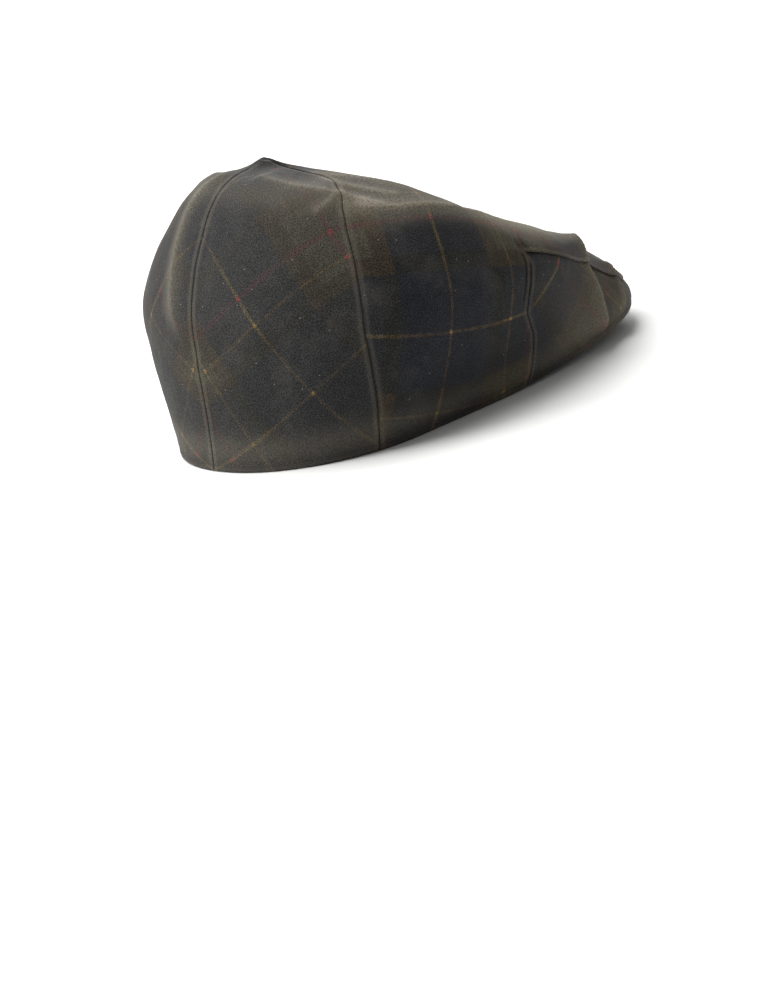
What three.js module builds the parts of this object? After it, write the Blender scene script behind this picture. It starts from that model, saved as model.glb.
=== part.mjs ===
// A waxed cotton flat cap, sewn from two rear panels, a top panel that runs down both sides, and a cover
// over a stiff peak. Millimetres, +Z up. The peak points to -Y and the wearer's right is -X. The hem lies on
// z = 0, and the origin is below the middle of the cap's outline.
// Places on the cap are told by an angle and a level. The angle turns round the crown from the centre back
// (0), over the wearer's right (90) to the centre front (180), and is negative on the left. The level is the
// share of the way from the hem (0) up to the point where the seams meet (1).
import * as THREE from "three";

// The cloth with its lining, and the hem turned inside. A panel draws back from each seam by SEAM_DRAW, and
// where one panel lies over another they keep LAP_GAP.
const CLOTH_WALL = 2;
const HEM_WALL = 3.2;
const HEM_DEPTH = 14;
const SEAM_DRAW = 0.3;
const LAP_GAP = 0.45;

// Each ring is an oval round (0, centre): back, front and half are its reaches, and backRound and frontRound
// are the powers of its two halves, 2 for an ellipse. Its height goes from sideZ at the sides to backZ and
// frontZ. The front's height starts to change where minus the cosine of the angle passes start, and fall is
// the power that keeps it back until late.
const RINGS = table("level centre back front half backRound frontRound backZ sideZ frontZ start fall", [
  [0, 61.3, 82.3, 204.9, 77.9, 2.06, 3.2, 0, 0, 11.3, 0.6, 2.3],
  [0.06, 59.2, 83.2, 203, 82.5, 2.06, 3.05, 12.7, 10.1, 20.2, 0.6, 2.3],
  [0.15, 56.1, 84.7, 192.3, 89, 2.1, 2.74, 31, 24.8, 31, 0, 2.5],
  [0.34, 51, 88.6, 164.8, 98.3, 2.1, 2.5, 59.6, 50.8, 50, 0, 2],
  [0.54, 44.8, 91.6, 145.5, 98.2, 2.2, 2.5, 88.9, 80.8, 60.3, 0, 2],
  [0.72, 41, 81, 121.4, 78.5, 2.1, 2.4, 120.6, 114.7, 65, 0, 2],
  [0.87, 42.2, 57.5, 77.9, 53.2, 2.2, 2.2, 145, 132.2, 83, 0, 2],
]);
const APEX = { y: 68.7, z: 150.6, tuftHeight: 2, tuftWidth: 7 };

// The side seam and the temple seam, as the angle at each level.
const SIDE_SEAM = table("at value", [
  [0, 69.5],
  [0.2, 65.8],
  [0.35, 63.4],
  [0.5, 61.2],
  [0.8, 62],
  [0.87, 67.5],
  [0.93, 80],
  [1, 78],
]);
const TEMPLE_SEAM = table("at value", [
  [0, 135.5],
  [0.1, 133],
  [0.17, 130.7],
  [0.24, 127.3],
  [0.31, 124.8],
  [0.45, 124.7],
  [0.56, 126.5],
  [1, 131],
]);
// The level of the top panel's front edge, from the temple (0) to the centre front (1).
const FRONT_EDGE = table("at value", [
  [0, 0.575],
  [0.13, 0.54],
  [0.25, 0.494],
  [0.42, 0.392],
  [0.53, 0.308],
  [0.6, 0.185],
  [0.67, 0.12],
  [0.78, 0.1],
  [1, 0.09],
]);
// The top panel lies over the peak cover by this much of a level, and its edge stands up by EDGE_LIFT,
// which fades over EDGE_FADE up and down the cap and over LIFT_START of the stretch from the temple.
// LEVEL_LENGTH is about how long a whole level is there.
const LAP_LEVEL = 0.055;
const EDGE_LIFT = 1.2;
const EDGE_FADE = 12;
const LIFT_START = 0.1;
const LEVEL_LENGTH = 150;

// Standing folds of the cloth. Each runs through three places, and its ridge fades out at both ends.
const FOLDS = table("angle0 level0 angle1 level1 angle2 level2 width height bothSides", [
  [-10, 0.96, -14, 0.76, -6, 0.38, 5.5, 2.2, false],
  [-38, 0.93, -50, 0.87, -66, 0.8, 6.5, 2.6, false],
  [157, 0.56, 152.5, 0.33, 157.8, 0.01, 6.5, 2.7, true],
  [165, 0.24, 161.5, 0.15, 160, 0.04, 6, 2, true],
  [63, 0.84, 92, 0.757, 128, 0.757, 8, 1.6, true],
  [122, 0.757, 140, 0.725, 170, 0.66, 9, 1.4, true],
]);
const FOLD_STEPS = 16;
const FOLD_FADE = 0.2;
const HEM_CALM = 9;

// The stiff board in the peak, with its forehead edge as half an oval.
const PEAK = {
  thickness: 3.2,
  endAngle: 139,
  rimLift: 0.6,
  rimGap: 1,
  topInset: 2.4,
  browHalf: 62,
  browSideY: -24,
  browFrontY: -75,
  browRound: 2.4,
  browSideZ: 1.4,
  browFrontZ: 15,
};

// How many columns each stretch of one side has, and how many rows lie below and above the front edge.
const COLUMNS = { rear: 11, side: 13, front: 16 };
const ROWS = { low: 11, high: 13 };
const TUFT_LEVEL = 0.992;
const PEAK_COLUMNS = 34;
const PEAK_ROWS = 7;

const HALF_TURN = 180;
const SMALL_STEP = 1e-3;

function table(columns, rows) {
  const names = columns.split(" ");
  return rows.map((row) => Object.fromEntries(names.map((name, k) => [name, row[k]])));
}

const clamp = (x, low = 0, high = 1) => Math.min(high, Math.max(low, x));
const smooth = (x) => clamp(x) ** 2 * (3 - 2 * clamp(x));

// The value at x of a curve through a table's rows, with no swing past them.
function along(rows, x) {
  const last = rows.length - 1;
  const slope = (k) => (rows[k + 1].value - rows[k].value) / (rows[k + 1].at - rows[k].at);
  const tangent = (k) => {
    if (k === 0) return slope(0);
    if (k === last) return slope(last - 1);
    const [before, after] = [slope(k - 1), slope(k)];
    return before * after <= 0 ? 0 : (2 * before * after) / (before + after);
  };
  let k = 0;
  while (k < last - 1 && x > rows[k + 1].at) k++;
  const span = rows[k + 1].at - rows[k].at;
  const s = clamp((x - rows[k].at) / span);
  return hermite(s, rows[k].value, tangent(k) * span, rows[k + 1].value, tangent(k + 1) * span);
}

function hermite(s, from, leave, to, arrive) {
  const [s2, s3] = [s * s, s * s * s];
  return (
    (2 * s3 - 3 * s2 + 1) * from + (s3 - 2 * s2 + s) * leave + (3 * s2 - 2 * s3) * to + (s3 - s2) * arrive
  );
}

// A point of one ring.
function ringPoint(ring, angle) {
  const turn = THREE.MathUtils.degToRad(angle);
  const [sine, cosine] = [Math.sin(turn), Math.cos(turn)];
  const atBack = cosine >= 0;
  const reach = atBack ? ring.back : ring.front;
  const round = atBack ? ring.backRound : ring.frontRound;
  const radius = (Math.abs(sine / ring.half) ** round + Math.abs(cosine / reach) ** round) ** (-1 / round);
  const late = clamp((-cosine - ring.start) / (1 - ring.start));
  const [end, rise] = atBack ? [ring.backZ, cosine ** 2] : [ring.frontZ, late ** ring.fall];
  const height = ring.sideZ + (end - ring.sideZ) * rise;
  return new THREE.Vector3(-radius * sine, ring.centre + radius * cosine, height);
}

// The calm surface of the crown, a smooth line up through the rings to the apex.
function calmPoint(angle, level) {
  const levels = [...RINGS.map((ring) => ring.level), 1];
  const points = [...RINGS.map((ring) => ringPoint(ring, angle)), new THREE.Vector3(0, APEX.y, APEX.z)];
  const last = levels.length - 1;
  const slope = (k, axis) => (points[k + 1][axis] - points[k][axis]) / (levels[k + 1] - levels[k]);
  const tangent = (k, axis) => {
    if (k === 0) return slope(0, axis);
    if (k === last) return slope(last - 1, axis);
    const [below, above] = [levels[k] - levels[k - 1], levels[k + 1] - levels[k]];
    return (slope(k - 1, axis) * above + slope(k, axis) * below) / (below + above);
  };
  let k = 0;
  while (k < last - 1 && level > levels[k + 1]) k++;
  const span = levels[k + 1] - levels[k];
  const s = (level - levels[k]) / span;
  const coordinate = (axis) =>
    hermite(s, points[k][axis], tangent(k, axis) * span, points[k + 1][axis], tangent(k + 1, axis) * span);
  return new THREE.Vector3(coordinate("x"), coordinate("y"), coordinate("z"));
}

// A fold of the cloth: a ridge along a line of points on the calm surface.
class Fold {
  constructor(row, side) {
    this.width = row.width;
    this.height = row.height;
    this.line = [];
    for (let k = 0; k <= FOLD_STEPS; k++) {
      const s = k / FOLD_STEPS;
      const through = (a, b, c) => a + s * (4 * b - 3 * a - c) + s * s * (2 * a - 4 * b + 2 * c);
      const angle = through(row.angle0, row.angle1, row.angle2) * side;
      this.line.push(calmPoint(angle, through(row.level0, row.level1, row.level2)));
    }
  }

  heightAt(point) {
    let [nearest, share] = [Infinity, 0];
    const piece = new THREE.Line3();
    const foot = new THREE.Vector3();
    for (let k = 0; k < FOLD_STEPS; k++) {
      piece.set(this.line[k], this.line[k + 1]);
      const s = piece.closestPointToPointParameter(point, true);
      const distance = piece.at(s, foot).distanceTo(point);
      if (distance < nearest) [nearest, share] = [distance, (k + s) / FOLD_STEPS];
    }
    const ends = smooth(share / FOLD_FADE) * smooth((1 - share) / FOLD_FADE);
    return this.height * ends * Math.exp(-((nearest / this.width) ** 2));
  }
}

const folds = FOLDS.flatMap((row) => (row.bothSides ? [1, -1] : [1]).map((side) => new Fold(row, side)));
const apex = new THREE.Vector3(0, APEX.y, APEX.z);

// How far the folds lift the cloth off the calm surface.
function foldHeight(point, angle) {
  const aboveHem = smooth((point.z - ringPoint(RINGS[0], angle).z) / HEM_CALM);
  const tuft = APEX.tuftHeight * Math.exp(-((point.distanceTo(apex) / APEX.tuftWidth) ** 2));
  return folds.reduce((sum, fold) => sum + fold.heightAt(point), tuft) * aboveHem;
}

function outward(surface, angle, level) {
  if (level > 1 - SMALL_STEP) return new THREE.Vector3(0, 0, 1);
  const low = Math.max(0, level - SMALL_STEP);
  const across = surface(angle + 1, level).sub(surface(angle - 1, level));
  const up = surface(angle, level + SMALL_STEP).sub(surface(angle, low));
  return across.cross(up).normalize();
}

// The crown's surface with its folds.
function foldedPoint(angle, level) {
  const point = calmPoint(angle, level);
  return point.addScaledVector(outward(calmPoint, angle, level), foldHeight(point, angle));
}

// The net of columns and rows that all panels share. Its columns follow the seams, and its rows follow the
// top panel's front edge. A column's place counts 0 to 1 over the rear panel, 1 to 2 over the side of the
// top panel and 2 to 3 over the peak cover, and it is negative on the left.
const halfPlaces = [COLUMNS.rear, COLUMNS.side, COLUMNS.front].flatMap((count, stretch) =>
  Array.from({ length: count }, (_, k) => stretch + k / count),
);
const places = [...halfPlaces, 3, ...halfPlaces.slice(1).reverse().map((place) => -place)];
const halfMiddles = halfPlaces.map((place, k) => (place + (halfPlaces[k + 1] ?? 3)) / 2);
const middles = [...halfMiddles, ...halfMiddles.map((place) => -place).reverse()];
const TOP_ROW = ROWS.low + 1 + ROWS.high + 1;
const wrap = (column) => (column + places.length) % places.length;

const edgeLevel = (place) => along(FRONT_EDGE, Math.max(0, Math.abs(place) - 2));

function netLevel(row, place) {
  const edge = edgeLevel(place);
  if (row <= ROWS.low) return (edge * row) / ROWS.low;
  if (row === TOP_ROW) return 1;
  return edge + LAP_LEVEL + ((TUFT_LEVEL - edge - LAP_LEVEL) * (row - ROWS.low - 1)) / ROWS.high;
}

function netAngle(place, level) {
  const marks = [0, along(SIDE_SEAM, level), along(TEMPLE_SEAM, level), HALF_TURN];
  const share = Math.abs(place);
  const k = Math.min(2, Math.floor(share));
  return Math.sign(place) * (marks[k] + (marks[k + 1] - marks[k]) * (share - k));
}

// The lift of the top panel's front edge, and how it fades away from the edge.
const edgeDistance = (place, level) => Math.abs(edgeLevel(place) - level) * LEVEL_LENGTH;
const edgeFade = (place, level) => smooth(1 - edgeDistance(place, level) / EDGE_FADE);
const edgeLift = (place) => EDGE_LIFT * smooth((Math.abs(place) - 2) / LIFT_START);

function solid(positions, faces) {
  const shape = new THREE.BufferGeometry();
  shape.setAttribute("position", new THREE.Float32BufferAttribute(positions, 3));
  shape.setIndex(faces);
  shape.computeVertexNormals();
  return shape;
}

// A sewn panel: the cells of the net that it covers, as a closed shell of cloth.
class Panel {
  constructor({ covers, lift = () => 0 }) {
    this.covers = covers;
    this.lift = lift;
    this.corners = new Map();
    this.positions = [];
    this.faces = [];
  }

  has(column, row) {
    return row >= 0 && row < TOP_ROW && this.covers(middles[wrap(column)], row);
  }

  // The outer and inner point of a corner of the net. At a seam the corner draws back by half the gap.
  corner(column, row) {
    const key = row === TOP_ROW ? "apex" : `${wrap(column)}/${row}`;
    if (!this.corners.has(key)) {
      const outer = this.outerPoint(column, row);
      if (row < TOP_ROW) outer.add(this.drawBack(column, row, outer));
      const inner = this.innerPoint(column, row, outer);
      this.corners.set(key, this.positions.length / 3);
      this.positions.push(...outer.toArray(), ...inner.toArray());
    }
    return this.corners.get(key);
  }

  outerPoint(column, row) {
    const place = places[wrap(column)];
    const level = netLevel(row, place);
    const angle = netAngle(place, level);
    const lift = this.lift(place, level, row);
    return foldedPoint(angle, level).addScaledVector(outward(foldedPoint, angle, level), lift);
  }

  // The step from a seam towards the middle of the panel's own cells there. At the hem it stays level.
  drawBack(column, row, point) {
    const around = [
      [column - 1, row - 1],
      [column - 1, row],
      [column, row - 1],
      [column, row],
    ].filter(([, r]) => r >= 0);
    const own = around.filter(([c, r]) => this.has(c, r));
    if (own.length === around.length) return new THREE.Vector3();
    const middle = new THREE.Vector3();
    for (const [c, r] of own) middle.add(this.outerPoint(c, r)).add(this.outerPoint(c + 1, r + 1));
    const step = middle.divideScalar(2 * own.length).sub(point);
    return (row === 0 ? step.setZ(0) : step).setLength(SEAM_DRAW);
  }

  innerPoint(column, row, outer) {
    const place = places[wrap(column)];
    const level = netLevel(row, place);
    const angle = netAngle(place, level);
    const inwards = outward(foldedPoint, angle, level).negate();
    if (row === 0) return outer.clone().add(inwards.setZ(0).setLength(HEM_WALL));
    const aboveHem = outer.z - ringPoint(RINGS[0], angle).z;
    const wall = CLOTH_WALL + (HEM_WALL - CLOTH_WALL) * smooth(2 - (2 * aboveHem) / HEM_DEPTH);
    return outer.clone().addScaledVector(inwards, wall);
  }

  quad(a, b, c, d) {
    if (b !== c) this.faces.push(a, b, c);
    if (c !== d) this.faces.push(a, c, d);
  }

  geometry() {
    for (let row = 0; row < TOP_ROW; row++) {
      for (let column = 0; column < places.length; column++) {
        if (this.has(column, row)) this.addCell(column, row);
      }
    }
    return solid(this.positions, this.faces);
  }

  // Both skins of a cell, and a wall on each side that no other cell of the panel meets.
  addCell(column, row) {
    const ring = [
      this.corner(column, row),
      this.corner(column + 1, row),
      this.corner(column + 1, row + 1),
      this.corner(column, row + 1),
    ];
    const inside = (k) => k + 1;
    this.quad(...ring);
    this.quad(inside(ring[0]), inside(ring[3]), inside(ring[2]), inside(ring[1]));
    const neighbours = [
      this.has(column, row - 1),
      this.has(column + 1, row),
      this.has(column, row + 1),
      this.has(column - 1, row),
    ];
    neighbours.forEach((met, k) => {
      const [from, to] = [ring[k], ring[(k + 1) % 4]];
      if (!met && from !== to) this.quad(to, from, inside(from), inside(to));
    });
  }
}

// The peak's board: a bent plate between the rim and the forehead edge.
function peakGeometry() {
  const place = (share, depth, onTop) => {
    const angle = HALF_TURN - share * (HALF_TURN - PEAK.endAngle);
    const rim = ringPoint(RINGS[0], angle);
    const rimLine = ringPoint(RINGS[0], angle + 1).sub(ringPoint(RINGS[0], angle - 1));
    const inset = HEM_WALL + PEAK.rimGap + (onTop ? PEAK.topInset : 0);
    rim.add(new THREE.Vector3(-rimLine.y, rimLine.x, 0).setLength(inset)).z += PEAK.rimLift;
    const turn = (share * Math.PI) / 2;
    const power = 2 / PEAK.browRound;
    const front = Math.abs(Math.cos(turn)) ** power;
    const brow = new THREE.Vector3(
      -Math.sign(share) * PEAK.browHalf * Math.abs(Math.sin(turn)) ** power,
      PEAK.browSideY + (PEAK.browFrontY - PEAK.browSideY) * front,
      PEAK.browSideZ + (PEAK.browFrontZ - PEAK.browSideZ) * front,
    );
    return rim.lerp(brow, depth).add(new THREE.Vector3(0, 0, onTop ? PEAK.thickness : 0));
  };
  const positions = [];
  const index = (column, row, onTop) => 2 * (column * (PEAK_ROWS + 1) + row) + (onTop ? 1 : 0);
  for (let column = 0; column <= PEAK_COLUMNS; column++) {
    for (let row = 0; row <= PEAK_ROWS; row++) {
      const share = (2 * column) / PEAK_COLUMNS - 1;
      for (const onTop of [false, true]) positions.push(...place(share, row / PEAK_ROWS, onTop).toArray());
    }
  }
  const faces = [];
  const quad = (a, b, c, d) => faces.push(a, b, c, a, c, d);
  for (let c = 0; c < PEAK_COLUMNS; c++) {
    for (let r = 0; r < PEAK_ROWS; r++) {
      for (const onTop of [false, true]) {
        const corners = [
          [c, r],
          [c + 1, r],
          [c + 1, r + 1],
          [c, r + 1],
        ].map(([column, row]) => index(column, row, onTop));
        quad(...(onTop ? corners.reverse() : corners));
      }
    }
    quad(index(c, 0, 0), index(c, 0, 1), index(c + 1, 0, 1), index(c + 1, 0, 0));
    const brow = PEAK_ROWS;
    quad(index(c, brow, 0), index(c + 1, brow, 0), index(c + 1, brow, 1), index(c, brow, 1));
  }
  for (let r = 0; r < PEAK_ROWS; r++) {
    const end = PEAK_COLUMNS;
    quad(index(0, r, 0), index(0, r + 1, 0), index(0, r + 1, 1), index(0, r, 1));
    quad(index(end, r, 0), index(end, r, 1), index(end, r + 1, 1), index(end, r + 1, 0));
  }
  return solid(positions, faces);
}

const isRear = (place) => Math.abs(place) < 1;
const isFront = (place) => Math.abs(place) > 2;
const belowTuft = (row) => row < TOP_ROW - 1;

const waxedCloth = (color) => new THREE.MeshStandardMaterial({ color, roughness: 0.78, metalness: 0 });

function panelMesh(name, color, parts) {
  const mesh = new THREE.Mesh(new Panel(parts).geometry(), waxedCloth(color));
  mesh.name = name;
  return mesh;
}

const cap = new THREE.Group();
cap.add(
  panelMesh("rear_panel_right", 0x3a382f, {
    covers: (place, row) => isRear(place) && place > 0 && belowTuft(row),
  }),
  panelMesh("rear_panel_left", 0x3a382f, {
    covers: (place, row) => isRear(place) && place < 0 && belowTuft(row),
  }),
  panelMesh("top_panel", 0x35342e, {
    covers: (place, row) => !belowTuft(row) || (!isRear(place) && (!isFront(place) || row >= ROWS.low)),
    lift: (place, level) => edgeLift(place) * edgeFade(place, level),
  }),
  panelMesh("peak_cover", 0x33312b, {
    covers: (place, row) => isFront(place) && row <= ROWS.low,
    lift: (place, level, row) => {
      const fade = edgeFade(place, level);
      const under = CLOTH_WALL + LAP_GAP;
      return row < ROWS.low ? (edgeLift(place) - under) * fade : edgeLift(place) * fade - under;
    },
  }),
);
const peak = new THREE.Mesh(peakGeometry(), waxedCloth(0x2e2c27));
peak.name = "peak";
cap.add(peak);

export default cap;
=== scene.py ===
"""The looks of a waxed cotton flat cap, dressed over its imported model.

Shapes are worked out in millimetres and turned to metres as a mesh is made. The peak points to -Y, the
wearer's right is -X and the hem lies on z = 0. A place on the cap is an angle and a level: the angle turns
from the centre back (0) over the wearer's right (90) to the centre front (180) and on over the left, and the
level goes from the hem (0) to the point where the seams meet (1).
"""

import logging
import math
from dataclasses import dataclass, field
from enum import Enum
from functools import cached_property

import bpy
import numpy as np
from mathutils import Matrix, Vector, noise


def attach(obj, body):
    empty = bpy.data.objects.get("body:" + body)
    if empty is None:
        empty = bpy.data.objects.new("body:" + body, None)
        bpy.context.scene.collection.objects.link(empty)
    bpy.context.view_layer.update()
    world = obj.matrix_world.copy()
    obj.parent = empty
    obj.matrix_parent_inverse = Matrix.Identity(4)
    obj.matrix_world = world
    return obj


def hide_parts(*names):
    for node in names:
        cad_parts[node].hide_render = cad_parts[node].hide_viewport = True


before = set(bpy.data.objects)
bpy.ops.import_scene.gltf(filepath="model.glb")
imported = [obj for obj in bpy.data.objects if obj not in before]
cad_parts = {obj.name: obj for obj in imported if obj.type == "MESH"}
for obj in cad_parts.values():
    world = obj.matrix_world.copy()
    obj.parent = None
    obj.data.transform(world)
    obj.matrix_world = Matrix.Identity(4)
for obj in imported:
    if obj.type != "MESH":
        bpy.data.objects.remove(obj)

LOG = logging.getLogger("flat_cap")
MM = 0.001
CELL_STEPS = ((0, 0), (0, 1), (1, 1), (1, 0))


def linear(hex_colour: str) -> tuple[float, float, float, float]:
    """Turns an sRGB hex colour to the linear colour that a shader takes.

    Args:
        hex_colour: six hex digits, without a hash sign.

    Returns:
        Red, green, blue and an alpha of 1.
    """
    parts = (int(hex_colour[k : k + 2], 16) / 255 for k in (0, 2, 4))
    red, green, blue = (p / 12.92 if p <= 0.04045 else ((p + 0.055) / 1.055) ** 2.4 for p in parts)
    return red, green, blue, 1.0


def smooth(x: np.ndarray) -> np.ndarray:
    """Eases x from 0 to 1, level at both ends."""
    share = np.clip(x, 0, 1)
    return share**2 * (3 - 2 * share)


def bell(x: np.ndarray, width: float) -> np.ndarray:
    """A smooth bump of height 1 at x = 0 that is down to a third at x = width."""
    return np.exp(-((x / width) ** 2))


def rolled(distance: np.ndarray, width: float, depth: float) -> np.ndarray:
    """The drop of cloth that rolls over into a seam or an edge, as a quarter of an oval.

    Args:
        distance: how far each point is from the edge, in millimetres.
        width: how far from the edge the roll starts.
        depth: how deep it goes at the edge.

    Returns:
        The height to add, which is negative.
    """
    share = 1 - np.clip(distance / width, 0, 1)
    return -depth * (1 - np.sqrt(1 - share**2))


def hermite(
    s: np.ndarray, start: np.ndarray, leave: np.ndarray, end: np.ndarray, arrive: np.ndarray
) -> np.ndarray:
    """A cubic between two values.

    Args:
        s: shares of the way, from 0 to 1.
        start: the value at 0.
        leave: the tangent there.
        end: the value at 1.
        arrive: the tangent there.

    Returns:
        The value at each share.
    """
    s2, s3 = s**2, s**3
    rise = 3 * s2 - 2 * s3
    return (1 - rise) * start + (s3 - 2 * s2 + s) * leave + rise * end + (s3 - s2) * arrive


def graded(count: int, both_ends: bool, strength: float = 0.68) -> np.ndarray:
    """Shares from 0 up to 1, without the 1, which stand closer at the start, or at both ends.

    Args:
        count: how many shares there are.
        both_ends: whether they also stand closer at the end.
        strength: how much closer, from 0 to 1.

    Returns:
        The shares.
    """
    t = np.arange(count) / count
    turns = 2 if both_ends else 1
    return t - strength * np.sin(turns * math.pi * t) / (turns * math.pi)


@dataclass(frozen=True)
class Guide:
    """A smooth curve through the rows of a short table of (place, value), with no swing past them."""

    rows: tuple[tuple[float, float], ...]

    def __call__(self, x: np.ndarray) -> np.ndarray:
        """Finds the value at each place.

        Args:
            x: the places.

        Returns:
            The values.
        """
        at, value = np.array(self.rows).T
        span = np.diff(at)
        slope = np.diff(value) / span
        before, after = slope[:-1], slope[1:]
        same_way = before * after > 0
        both = np.where(same_way, before + after, 1)
        middle = np.where(same_way, 2 * before * after / both, 0)
        tangent = np.concatenate([slope[:1], middle, slope[-1:]])
        k = np.clip(np.searchsorted(at, x, side="right") - 1, 0, len(span) - 1)
        s = np.clip((x - at[k]) / span[k], 0, 1)
        return hermite(s, value[k], tangent[k] * span[k], value[k + 1], tangent[k + 1] * span[k])


@dataclass(frozen=True)
class Ring:
    """One level of the crown, an oval round (0, centre). Reaches and heights are in millimetres."""

    level: float
    centre: float
    back: float
    front: float
    half: float
    back_round: float
    front_round: float
    back_z: float
    side_z: float
    front_z: float
    fall: float
    rise_start: float = 0.0

    def points(self, angle: np.ndarray) -> np.ndarray:
        """The ring's points at the given angles.

        Args:
            angle: angles in degrees.

        Returns:
            An array of the same shape with x, y and z added as the last axis.
        """
        sine, cosine = np.sin(np.radians(angle)), np.cos(np.radians(angle))
        at_back = cosine >= 0
        reach = np.where(at_back, self.back, self.front)
        power = np.where(at_back, self.back_round, self.front_round)
        radius = (np.abs(sine / self.half) ** power + np.abs(cosine / reach) ** power) ** (-1 / power)
        late = np.clip((-cosine - self.rise_start) / (1 - self.rise_start), 0, 1)
        end = np.where(at_back, self.back_z, self.front_z)
        rise = np.where(at_back, cosine**2, late**self.fall)
        height = self.side_z + (end - self.side_z) * rise
        return np.stack([-radius * sine, self.centre + radius * cosine, height], axis=-1)


@dataclass(frozen=True)
class Crown:
    """The calm surface of the crown, a smooth line up through the rings to the apex."""

    rings: tuple[Ring, ...] = (
        Ring(0.0, 61.3, 82.3, 204.9, 77.9, 2.06, 3.2, 0.0, 0.0, 11.3, 2.3, rise_start=0.6),
        Ring(0.06, 59.2, 83.2, 203.0, 82.5, 2.06, 3.05, 12.7, 10.1, 20.2, 2.3, rise_start=0.6),
        Ring(0.15, 56.1, 84.7, 192.3, 89.0, 2.1, 2.74, 31.0, 24.8, 31.0, 2.5),
        Ring(0.34, 51.0, 88.6, 164.8, 98.3, 2.1, 2.5, 59.6, 50.8, 50.0, 2.0),
        Ring(0.54, 44.8, 91.6, 145.5, 98.2, 2.2, 2.5, 88.9, 80.8, 60.3, 2.0),
        Ring(0.72, 41.0, 81.0, 121.4, 78.5, 2.1, 2.4, 120.6, 114.7, 65.0, 2.0),
        Ring(0.87, 42.2, 57.5, 77.9, 53.2, 2.2, 2.2, 145.0, 132.2, 83.0, 2.0),
    )
    apex: tuple[float, float, float] = (0.0, 68.7, 150.6)

    def surface(self, angle: np.ndarray, level: np.ndarray) -> np.ndarray:
        """Points of the calm surface.

        Args:
            angle: angles in degrees.
            level: levels, in an array of the same shape.

        Returns:
            The points, with x, y and z as the last axis.
        """
        around, up = np.ravel(angle), np.ravel(level)
        knots = np.stack([ring.points(around) for ring in self.rings])
        knots = np.concatenate([knots, np.broadcast_to(self.apex, (1, around.size, 3))])
        levels = np.array([ring.level for ring in self.rings] + [1.0])
        span = np.diff(levels)
        slope = np.diff(knots, axis=0) / span[:, None, None]
        below, above = span[:-1, None, None], span[1:, None, None]
        middle = (slope[:-1] * above + slope[1:] * below) / (below + above)
        tangent = np.concatenate([slope[:1], middle, slope[-1:]])
        k = np.clip(np.searchsorted(levels, up, side="right") - 1, 0, len(span) - 1)
        one = np.arange(around.size)
        s = ((up - levels[k]) / span[k])[:, None]
        reach = span[k][:, None]
        leave, arrive = tangent[k, one] * reach, tangent[k + 1, one] * reach
        curve = hermite(s, knots[k, one], leave, knots[k + 1, one], arrive)
        return curve.reshape(*np.shape(angle), 3)


@dataclass(frozen=True)
class Fold:
    """A standing fold of the cloth, along a curve through three places of (angle, level).

    Its ridge fades out at both ends. crisp says how far its top is a crease and not a soft swell, ahead is
    the width of its side towards the front as a share of the other's, chalk says how pale it is along the
    ridge, real wear of the wax with a painted highlight on the crest, and dark says how much painted
    shade lies on its side towards the front.
    """

    start: tuple[float, float]
    middle: tuple[float, float]
    end: tuple[float, float]
    width: float
    height: float
    both_sides: bool = True
    crisp: float = 0.5
    ahead: float = 1.0
    chalk: float = 0.4
    dark: float = 0.0
    tip: float = 0.5
    steps: int = 24
    fade: float = 0.2
    reach: float = 4.0

    def line(self, s: np.ndarray) -> tuple[np.ndarray, np.ndarray]:
        """The run of the ridge.

        Args:
            s: shares of its length, from 0 to 1.

        Returns:
            The angle and the level at each share.
        """
        a, b, c = np.array(self.start), np.array(self.middle), np.array(self.end)
        s = np.asarray(s)[:, None]
        angle, level = (a + s * (4 * b - 3 * a - c) + s**2 * (2 * a - 4 * b + 2 * c)).T
        return angle, level

    def relief(self, crown: Crown, points: np.ndarray, angles: np.ndarray) -> np.ndarray:
        """How the fold lifts and wears the cloth.

        Args:
            crown: the calm surface.
            points: points on it, one a row.
            angles: the angle of each point, from -180 to 180 degrees.

        Returns:
            Three rows: the height of the fold in millimetres, its pale wear with a painted highlight and its
            painted shade.
        """
        height, wear_and_painted_light, painted_shade = np.zeros((3, len(points)))
        for side in (1, -1) if self.both_sides else (1,):
            angle, level = self.line(np.linspace(0, 1, self.steps + 1))
            line = crown.surface(angle * side, level)
            margin = self.reach * self.width
            inside = np.all((points > line.min(0) - margin) & (points < line.max(0) + margin), axis=1)
            near = points[inside]
            best, share = np.full(len(near), np.inf), np.zeros(len(near))
            for k in range(self.steps):
                step = line[k + 1] - line[k]
                s = np.clip((near - line[k]) @ step / (step @ step), 0, 1)
                distance = np.linalg.norm(near - line[k] - s[:, None] * step, axis=1)
                closer = distance < best
                best = np.where(closer, distance, best)
                share = np.where(closer, (k + s) / self.steps, share)
            in_front = np.abs(angles[inside]) > np.abs(self.line(share)[0])
            width = self.width * np.where(in_front, self.ahead, 1.0)
            sharp = np.exp(-(np.hypot(best, self.tip) - self.tip) / (0.85 * width))
            profile = self.crisp * sharp + (1 - self.crisp) * bell(best, width)
            ends = smooth(share / self.fade) * smooth((1 - share) / self.fade)
            height[inside] += ends * self.height * profile
            # Pale along the ridge: real wear of the wax, with a painted highlight on the crest.
            wear_and_painted_light[inside] += ends * self.chalk * (0.5 * bell(best, 1.5) + 0.5 * bell(best, width))
            # Painted shade on the side of the crease towards the front.
            painted_shade[inside] += ends * self.dark * in_front * smooth(best / 1.5) * bell(best, 3.0 * width)
        return np.stack([height, wear_and_painted_light, painted_shade])


class Panel(Enum):
    """The sewn panels, as the stretches of the net's places that each one covers."""

    REAR_RIGHT = (0.0, 1.0)
    TOP = (1.0, 5.0)
    COVER = (2.0, 4.0)
    REAR_LEFT = (5.0, 6.0)


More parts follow.
